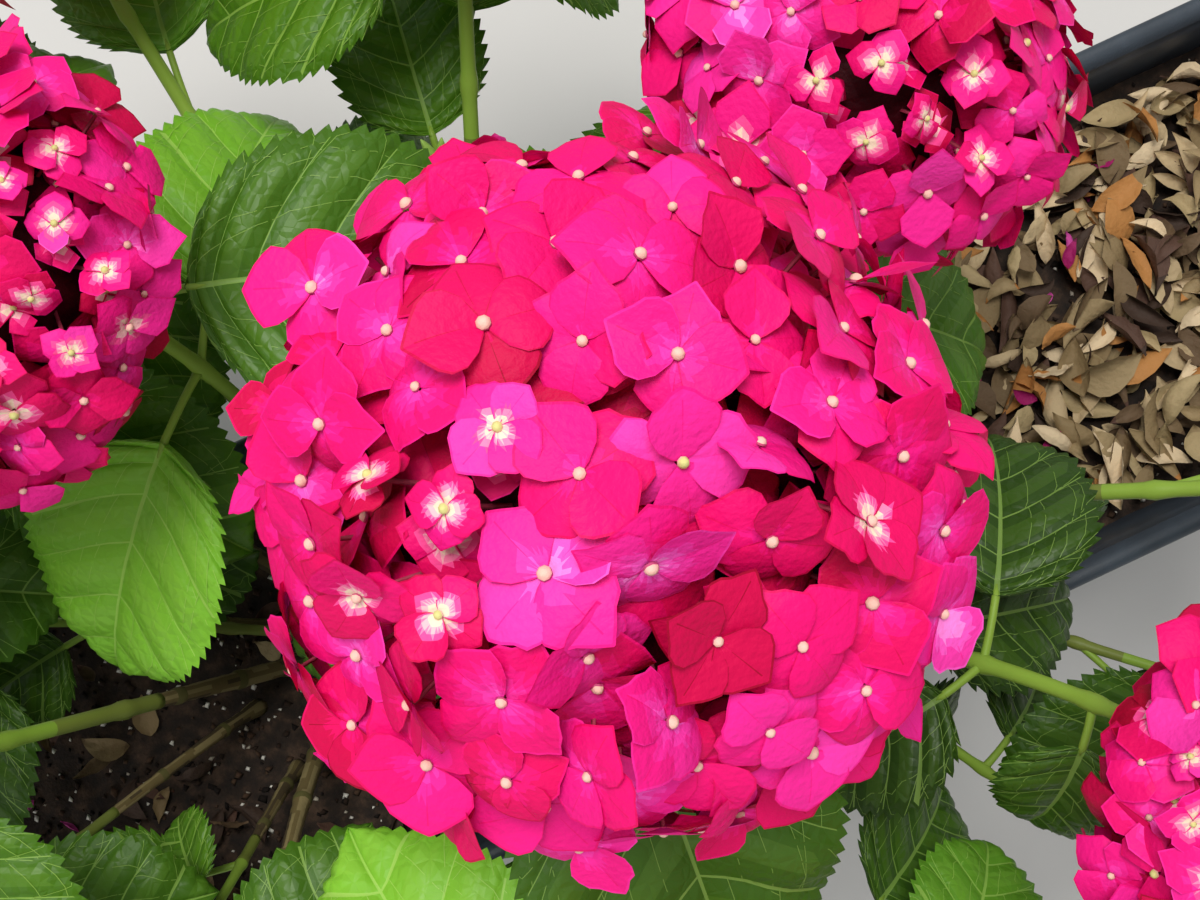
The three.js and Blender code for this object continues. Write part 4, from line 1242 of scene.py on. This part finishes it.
def fine_veins(grid, vein_rows, rng):
    """Forks of the side veins, and small veins across from one to the next, as thin ribbons."""
    middle = (grid.shape[1] - 1) // 2
    margin = middle - FORK_SHORT
    lines = []
    for low, high in zip(vein_rows, vein_rows[1:]):
        width = np.linalg.norm(grid[high, -1] - grid[high, 0])
        starts = CROSS_STARTS if width > ALL_VEINS_FROM else CROSS_STARTS[::2]
        for side in (-1, 1):
            share = rng.uniform(*FORK_RISE, 2) * (high - low)
            lines.append((low, low + share[0], FORK_STARTS[0], margin, side))
            lines.append((high, high - share[1], FORK_STARTS[1], margin, side))
            for start in starts:
                out = start + rng.uniform(-CROSS_JITTER, CROSS_JITTER)
                lines.append((low, high, out, out + rng.uniform(*CROSS_SLANT), side))
    low, high, inner, outer, side = np.array(lines).T[..., None]
    shares = np.linspace(0, 1, FINE_VEIN_STEPS)
    row = low + (high - low) * shares
    column = middle + side * (inner + (outer - inner) * shares)
    above = unit(np.cross(np.gradient(grid, axis=1), np.gradient(grid, axis=0)))
    above = above * np.sign(above[..., 2:].mean())
    path = on_grid(grid, row, column)
    over = on_grid(above, row, column)
    aside = unit(np.cross(over, np.gradient(path, axis=1))) * FINE_VEIN_HALF
    path = path + over * FINE_VEIN_LIFT
    points = np.stack([path - aside, path + aside], axis=2)
    return points, copies(grid_faces(FINE_VEIN_STEPS, 2), len(lines), 2 * FINE_VEIN_STEPS)


def blade_lift(leaf, along, columns, between, rng):
    """Puckers between veins, a wavy and curled margin, a drooping tip and small unevenness."""
    out_share = np.abs(columns)
    half = leaf["length"] * LEAF_WIDTH / 2
    size = leaf["length"] / USUAL_BLADE
    bulge = np.abs(np.sin(math.pi * between))[:, None] ** 0.7
    pucker = PUCKER * size * bulge * np.sin(math.pi * np.clip(out_share * 0.96, 0, 1)) ** 0.6
    phase = rng.uniform(0, 2 * math.pi, 2)
    sway = np.where(columns < 0, phase[0], phase[1])
    wave = MARGIN_WAVE * size * out_share ** 2 * np.sin(along * 2 * math.pi * MARGIN_WAVES + sway)
    curl = MARGIN_CURL * half * np.clip(out_share - CURL_FROM, 0, 1) ** 2
    patches = rumple(
        along * leaf["length"] + leaf["base"][0], columns * half, UNEVEN_PATCH, SEEDS["unevenness"])
    droop = TIP_DROOP * leaf["length"] * np.clip(along - TIP_FROM, 0, 1) ** 2
    return pucker + wave - curl + UNEVEN * size * patches * out_share ** 0.3 - droop


def leaf_tone(shoot, leaf, rng):
    """Each spray has greens of its own. Leaves low down and in the shade are deeper, as painted shade, and
    some leaves in the light are brighter, as painted light.
    """
    spray = (shoot["index"] + 1, leaf["pair"])
    if spray in SPRAY_GREENS:
        return rng.choice(SPRAY_GREENS[spray])
    if not shoot["head"]:
        return rng.choice(SIDE_GREENS, p=SIDE_SHARES)
    return rng.choice(PAIR_GREENS[leaf["pair"]])


def leaf_surfaces():
    """Each green as it is, a lighter one as a painted sheen highlight on the crests between veins, and a pale
    one for veins.
    """
    sheens = [mixed(colour, CREST_SHEEN, CREST_SHEEN_SHARE) for colour in GREENS]
    veins = [mixed(colour, PALE_VEIN, VEIN_SHARE) for colour in GREENS]
    quilt = {"grain": 0.0065, "relief": 0.0018, "quilted": True}
    return [
        *surfaces("leaf", GREENS, roughness=0.48, gloss=0.26, **quilt),
        *surfaces("leaf_crest_sheen", sheens, roughness=0.44, gloss=0.3, **quilt),
        *surfaces("leaf_vein", veins, roughness=0.5, grain=0.003, relief=0.0002),
    ]


def make_blades(shoots, leaves):
    rng, vein_rng = np.random.default_rng(SEEDS["blades"]), np.random.default_rng(SEEDS["fine veins"])
    greens = leaf_surfaces()
    for number, group in enumerate([shoots[:6], shoots[6:12], shoots[12:]], 1):
        heap = Heap()
        for shoot in group:
            for leaf in (leaf for leaf in leaves if leaf["owner"] == shoot["index"]):
                grid, faces, strips, vein_rows = blade(leaf, rng)
                tone = leaf_tone(shoot, leaf, rng)
                heap.add(grid, faces, strips * len(GREENS) + tone)
                heap.add(*fine_veins(grid, vein_rows, vein_rng), VEIN_STRIP * len(GREENS) + tone)
        heap.piece("leaf_blades_%d" % number, nodes_of("leaves", group), greens)


# Flower heads

# A scale of nine from pale to deep, then the colours of the core, a near-black painted shade, of a bud and
# its ring, of a young bud and of a stalk, and four steps from the cream middle of a young floret
PINKS = [
    (249, 126, 208), (245, 82, 186), (241, 54, 162), (237, 36, 143), (232, 22, 125), (225, 12, 107),
    (214, 6, 89), (193, 3, 68), (154, 1, 42), (60, 2, 14), (230, 184, 168), (178, 72, 112), (206, 202, 130),
    (150, 50, 72), (238, 214, 188), (244, 178, 186), (246, 126, 170), (243, 74, 146),
]
DEEPEST_PINK = 8
CORE_SHADE_TONE, BUTTON_TONE, RING_TONE, YOUNG_TONE, STALK_TONE, CREAM_TONE = range(9, 15)
YOUNG_STEPS = (0, 0.2, 0.34, 0.46, 0.58)
YOUNG_FEATHER = 0.4
CREAM_FROM = 0.3
GREEN_EYE = 0.4
# Paleness of a floret's eye, and how much it differs from sepal to sepal
PALE_EYES = [0.2, 0.5, 0.9, 1.2]
PALE_VARIES = (0.6, 1.2)
# Paleness of the eye above which a sepal's edge line is a painted highlight instead of painted shade
HIGHLIGHT_EDGE_PALENESS = 0.9
FLUSH_STEPS = 2.6
FLUSH_FEATHER = 0.07
# Sepal edge lines of painted shade and highlight: least share across the sepal, and least share along it
SIDE_SHADE_HIGHLIGHT_LINE = 0.93
SIDE_SHADE_HIGHLIGHT_FROM = 0.4
VEIN_REACH = (0.2, 0.86)
BUTTON_RINGS = [(1, 0.05), (0.98, 0.42), (0.66, 0.92), (0.22, 1.12)]
BUTTON_LIFT = 0.0012
BUTTON_SHARE = 0.095
BUTTON_RADII = (0.0012, 0.0019)
BUTTON_VARIES = (0.85, 1.1)
YOUNG_BUTTON = 0.15
UPPER_LIFT = 0.0006
UPPER_RISE = 0.07
# Florets lower on the head than this take a pink one step deeper, as painted shade
PAINTED_SHADE_BELOW = -0.25
SEPAL_OUTLINE = (
    [0, 0.08, 0.2, 0.36, 0.52, 0.66, 0.8, 0.92, 1], [1.06, 0.99, 0.93, 0.88, 0.85, 0.79, 0.62, 0.38, 0.18],
)
SEPAL_ROOT = 0.07
EDGE_FROM = 0.955


def head_turn(shoot):
    """Turns the head's own upright directions to the lean of its stem."""
    return np.array(Vector((0, 0, 1)).rotation_difference(Vector(shoot["axis"])).to_matrix())


def on_head(shoot, directions, share):
    reach = np.where(directions[:, 2] > 0, HEAD_TOP, HEAD_BOTTOM)
    points = np.column_stack([directions[:, :2], directions[:, 2] * reach])
    return points * shoot["head"] * np.reshape(share, (-1, 1)) @ head_turn(shoot).T + np.array(shoot["tip"])


def floret_directions(count):
    turn = np.arange(count)
    height = 1 - (1 - LOWEST_FLORET) * (turn + 0.5) / count
    level = np.sqrt(1 - height ** 2)
    return np.column_stack([np.cos(turn * GOLDEN_ANGLE) * level, np.sin(turn * GOLDEN_ANGLE) * level, height])


def ring_places(rows):
    """Shares of a sepal's length at its rings, the last two close together for its thin edge."""
    return np.append(EDGE_FROM * np.linspace(0, 1, rows) ** 0.84, 1)


def sepals(sizes, upper, look, rng):
    """Fan-shaped sepals along +x of their floret, each one different. Sizes are their lengths.

    The upper pair's sides turn up and the lower pair's turn down, so that they lie over each other.
    """
    count = len(sizes)
    ring = ring_places(look["rows"])[None, :, None]
    c = look["columns"][None, None, :]

    def vary(what):
        return rng.uniform(*SEPAL_VARIES[what], (count, 1, 1))

    length = sizes[:, None, None]
    serrate = 1 + vary("teeth") * np.sin(np.abs(c) * vary("tooth waves")) * ring ** 4
    point = 1 + vary("point") * np.exp(-np.abs(c) / POINT_HALF)
    reach = np.interp(np.abs(c), *SEPAL_OUTLINE) * serrate * point
    s = (SEPAL_ROOT + (1 - SEPAL_ROOT) * ring) * reach
    angle = np.radians(SEPAL_SPREAD * vary("spread")) * c + vary("skew") * s
    rise, bend = np.radians(vary("rise")), np.radians(vary("bend"))
    pitch = rise - bend * s
    out = length * (np.sin(rise) - np.sin(pitch)) / bend
    x, y = out * np.cos(angle), out * np.sin(angle)
    z = length * (np.cos(pitch) - np.cos(rise)) / bend
    cup = np.abs(rng.normal(*SEPAL_CUP, (count, 1, 1))) * np.where(upper, 1, -1)[:, None, None]
    z = z + cup * y ** 2 / length
    z = z + length * vary("ripple") * np.sin(c * vary("ripple waves") + vary("ripple start")) * s ** 1.5
    z = z - vary("crease") * length * np.exp(-(c / CREASE_HALF) ** 2) * s
    return np.broadcast_arrays(x, y, z)


def ring_tones(base, look, pale, young, rng):
    """Steps along the scale of pinks, for each triangle: a feathered flush by the eye, and a rim line that is
    painted shade on most florets and a painted highlight on those with pale eyes.
    """
    rings, edges = ring_places(look["rows"]), look["columns"]
    near, far = (2 * rings[:-1] + rings[1:]) / 3, (rings[:-1] + 2 * rings[1:]) / 3
    s = np.stack([near, far], axis=1)[None, :, None]
    c = np.abs((edges[1:] + edges[:-1]) / 2)[None, None, :, None]
    feathered = s + rng.normal(0, FLUSH_FEATHER, (len(base), 1, c.size, 1))
    pale, base, young = [values[:, None, None, None] for values in (pale, base, young)]
    flush = FLUSH_STEPS * pale * np.clip(1 - feathered / (0.2 + 0.4 * pale), 0, 1)
    # Edge lines of the sepals: a deeper pink as painted shade, a paler pink as a painted highlight where the
    # eye is pale
    rim = ((c > SIDE_SHADE_HIGHLIGHT_LINE) & (s > SIDE_SHADE_HIGHLIGHT_FROM)) | (s > EDGE_FROM)
    tones = base - np.round(flush).astype(int) + np.where(rim, np.where(pale > HIGHLIGHT_EDGE_PALENESS, -1, 1), 0)
    if look is HERO:
        vein = (np.arange(c.size) == HERO_VEIN)[None, None, :, None]
        tones = tones + (vein & (s > VEIN_REACH[0]) & (s < VEIN_REACH[1]))
    tones = np.clip(tones, 0, DEEPEST_PINK)
    softer = s + (feathered - s) * YOUNG_FEATHER
    step = np.searchsorted(YOUNG_STEPS, softer / (0.5 + 0.5 * young)) - 1
    creamy = (young > CREAM_FROM) & (step < len(YOUNG_STEPS) - 1)
    return np.where(creamy, CREAM_TONE + np.maximum(step, 0), tones)


def facing(shoot, look, directions, rng):
    """Seats of the florets, the way each faces, and two directions across it."""
    count = look["florets"]
    seats = on_head(shoot, directions, rng.uniform(*look["seat"], count))
    outward = unit(seats - on_head(shoot, directions, FACES_FROM))
    lifted = FACES_UP * smooth_step(LOWEST_FLORET, 0.1, directions[:, 2])
    outward = unit(outward + shoot["axis"] * lifted[:, None])
    outward = unit(outward + rng.normal(0, math.sin(math.radians(FLORET_TILT)), (count, 3)))
    aside = unit(np.cross(outward, rng.normal(0, 1, (count, 3))))
    return seats, outward, aside, np.cross(outward, aside)


def youth(shoot, directions):
    """How young each floret is, from 0 to 1, near the patches that open last."""
    young = np.zeros(len(directions))
    for patch in YOUNG_PATCHES.get(shoot["index"], []):
        away = np.linalg.norm(directions - unit(np.array(patch)), axis=1)
        young = np.maximum(young, 1 - smooth_step(YOUNG_REACH * 0.6, YOUNG_REACH, away))
    return young


def add_florets(heap, shoot, look, rng):
    """Florets of mostly four sepals over the head, turned outwards with odd tilts and depths."""
    count, columns = look["florets"], look["columns"]
    directions = floret_directions(count) @ np.array(Matrix.Rotation(rng.uniform(0, 6), 3, "Z"))
    seats, outward, aside, over = facing(shoot, look, directions, rng)
    young = youth(shoot, directions)
    size = look["sepal"] * rng.uniform(*FLORET_SIZES, count) * (1 - (1 - YOUNG_SIZE) * young)
    petals = rng.choice(SEPAL_COUNTS, count, p=SEPAL_ODDS)
    floret = np.repeat(np.arange(count), petals)
    number = np.concatenate([np.arange(amount) for amount in petals])
    angle = number * 2 * math.pi / petals[floret] + rng.uniform(0, 6.3, count)[floret]
    angle = angle + rng.normal(0, SEPAL_SWAY, len(floret))
    upper = number % 2 == 1
    lengths = size[floret] * rng.uniform(*SEPAL_SIZES, len(floret))
    x, y, z = sepals(lengths, upper, look, rng)
    z = z + upper[:, None, None] * (UPPER_LIFT + UPPER_RISE * x)
    flat = circle(angle, aside[floret], over[floret])
    side = np.cross(outward[floret], flat)
    points = seats[floret][:, None, None]
    for share, way in ((x, flat), (y, side), (z, outward[floret])):
        points = points + share[..., None] * way[:, None, None]
    # Florets low on the head are one step deeper: painted shade
    base = rng.choice(look["tones"], count) + (directions[:, 2] < PAINTED_SHADE_BELOW)
    pale = rng.choice(PALE_EYES, count)[floret] * rng.uniform(*PALE_VARIES, len(floret))
    young = np.where(rng.uniform(size=count) < look["green_eyes"], np.maximum(young, GREEN_EYE), young)
    base = base[floret] + rng.choice([-1, 0, 0, 0, 0, 1], len(floret))
    tones = ring_tones(base, look, pale, young[floret], rng)
    cells = grid_faces(look["rows"] + 1, len(columns))
    heap.add(points, copies(cells, len(floret), (look["rows"] + 1) * len(columns)), tones)
    add_buttons(heap, seats, outward, aside, over, size, young, look, rng)
    add_pedicels(heap, shoot, directions, seats, rng)


def add_buttons(heap, seats, outward, aside, over, sizes, young, look, rng):
    """Round fertile buds in the middle of the florets, on a faint ring."""
    sides, count = look["button"], len(seats)
    radius = np.clip(sizes * BUTTON_SHARE, *BUTTON_RADII)
    radius = radius * (1 + YOUNG_BUTTON * young) * rng.uniform(*BUTTON_VARIES, count)
    level = circle(round_angles(sides), aside[:, None], over[:, None])
    rings = [
        seats[:, None] + level * (radius * out)[:, None, None]
        + outward[:, None] * (radius * up + BUTTON_LIFT)[:, None, None]
        for out, up in BUTTON_RINGS
    ]
    top = np.array([[0, turn, turn + 1] for turn in range(1, sides - 1)]) + (len(rings) - 1) * sides
    cells = np.concatenate([grid_faces(len(rings), sides, closed=True), top])
    green = (young > GREEN_EYE) | (rng.uniform(size=count) < look["green_eyes"])
    tones = np.repeat(np.where(green, YOUNG_TONE, BUTTON_TONE)[:, None], len(cells), axis=1)
    tones[:, :2 * sides] = np.where(green, BUTTON_TONE, RING_TONE)[:, None]
    heap.add(np.stack(rings, axis=1), copies(cells, count, len(rings) * sides), tones)


def add_pedicels(heap, shoot, directions, seats, rng):
    """Thin stalks from the branching middle of the head to its florets."""
    hub = on_head(shoot, directions, HEAD_HUB) - shoot["axis"] * shoot["head"] * HUB_DROP
    for foot, seat in zip(hub, seats):
        bend = (foot + seat) / 2 + rng.normal(0, PEDICEL_SWAY, 3)
        heap.add(*tube(np.array([foot, bend, seat]), PEDICEL_RADII, 3), STALK_TONE)


def add_core(heap, shoot, rng):
    """Rough middle that stands for the branched inside of the head, coloured near-black as painted shade."""
    rows, columns = CORE_GRID
    top = math.pi / 2 - CORE_POLE
    heights = np.sin(np.linspace(-top, top, rows))[:, None]
    angles, level = round_angles(columns), np.sqrt(1 - heights ** 2)
    directions = np.stack(np.broadcast_arrays(
        level * np.cos(angles), level * np.sin(angles), heights), axis=-1).reshape(-1, 3)
    share = rng.uniform(*CORE_REACH, len(directions))
    heap.add(on_head(shoot, directions, share), grid_faces(rows, columns, closed=True), CORE_SHADE_TONE)


def layers(index):
    """The outer and the under layer of florets of a head. The main head's are the finest."""
    if index == 0:
        return HERO, HERO_UNDER
    return (NEAR, NEAR_UNDER) if index < NEAR_HEADS else (FAR, FAR_UNDER)


def make_heads(shoots):
    materials = surfaces("flower", PINKS, roughness=0.56, grain=0.0024, relief=0.001, gloss=0.13)
    for shoot in (shoot for shoot in shoots if shoot["head"]):
        rng = np.random.default_rng(SEEDS["first head"] + shoot["index"])
        heap = Heap()
        for look in layers(shoot["index"]):
            add_florets(heap, shoot, look, rng)
        add_core(heap, shoot, rng)
        heap.piece(nodes_of("florets", [shoot])[0], nodes_of("flower_head", [shoot]), materials)


# Floor, light and camera

def make_floor():
    mesh = bpy.data.meshes.new("floor")
    corners = [(-FLOOR_REACH, -FLOOR_REACH, 0), (FLOOR_REACH, -FLOOR_REACH, 0),
               (FLOOR_REACH, FLOOR_REACH, 0), (-FLOOR_REACH, FLOOR_REACH, 0)]
    mesh.from_pydata(corners, [], [(0, 1, 2, 3)])
    pale = plain_surface("floor_pale", FLOOR_COLOUR, roughness=0.85, grain=0.02, relief=0.0004)
    mesh.materials.append(pale)
    floor = new_thing("floor", mesh)


def add_light(name, place, size, power, colour):
    light = bpy.data.lights.new(name, "AREA")
    light.size = size
    light.energy = power
    light.color = colour
    thing = new_thing(name, light)
    thing.location = place
    aim = Vector(LIGHTS_AIM) - Vector(place)
    thing.rotation_euler = aim.to_track_quat("-Z", "Y").to_euler()


def make_lights():
    world = bpy.data.worlds.new("studio")
    world.use_nodes = True
    background = world.node_tree.nodes["Background"]
    background.inputs["Color"].default_value = (*SKY_COLOUR, 1)
    background.inputs["Strength"].default_value = SKY_STRENGTH
    bpy.context.scene.world = world
    for light in LIGHTS:
        add_light(*light)


def make_camera():
    azimuth, elevation = math.radians(CAMERA_AZIMUTH), math.radians(CAMERA_ELEVATION)
    back = Vector((
        math.sin(azimuth) * math.cos(elevation),
        -math.cos(azimuth) * math.cos(elevation),
        math.sin(elevation),
    ))
    right = Vector((math.cos(azimuth), math.sin(azimuth), 0))
    turn = Matrix((right, back.cross(right), back)).transposed()
    camera = bpy.data.cameras.new("camera")
    camera.lens = CAMERA_LENS
    camera.sensor_width = SENSOR_WIDTH
    camera.clip_start = CAMERA_NEAREST
    thing = new_thing("camera", camera)
    thing.matrix_world = Matrix.Translation(CAMERA_PLACE) @ turn.to_4x4()
    bpy.context.scene.camera = thing


def main():
    shoots = [plan(dict(zip(SHOOT_VALUES, values)), index) for index, values in enumerate(SHOOTS)]
    leaves = grow_leaves(shoots)
    make_trough()
    make_soil()
    make_grit()
    make_litter()
    make_canes(shoots)
    make_stems(shoots, leaves)
    make_blades(shoots, leaves)
    make_heads(shoots)
    make_floor()
    make_lights()
    make_camera()
    bpy.context.scene.view_settings.view_transform = "Standard"


main()
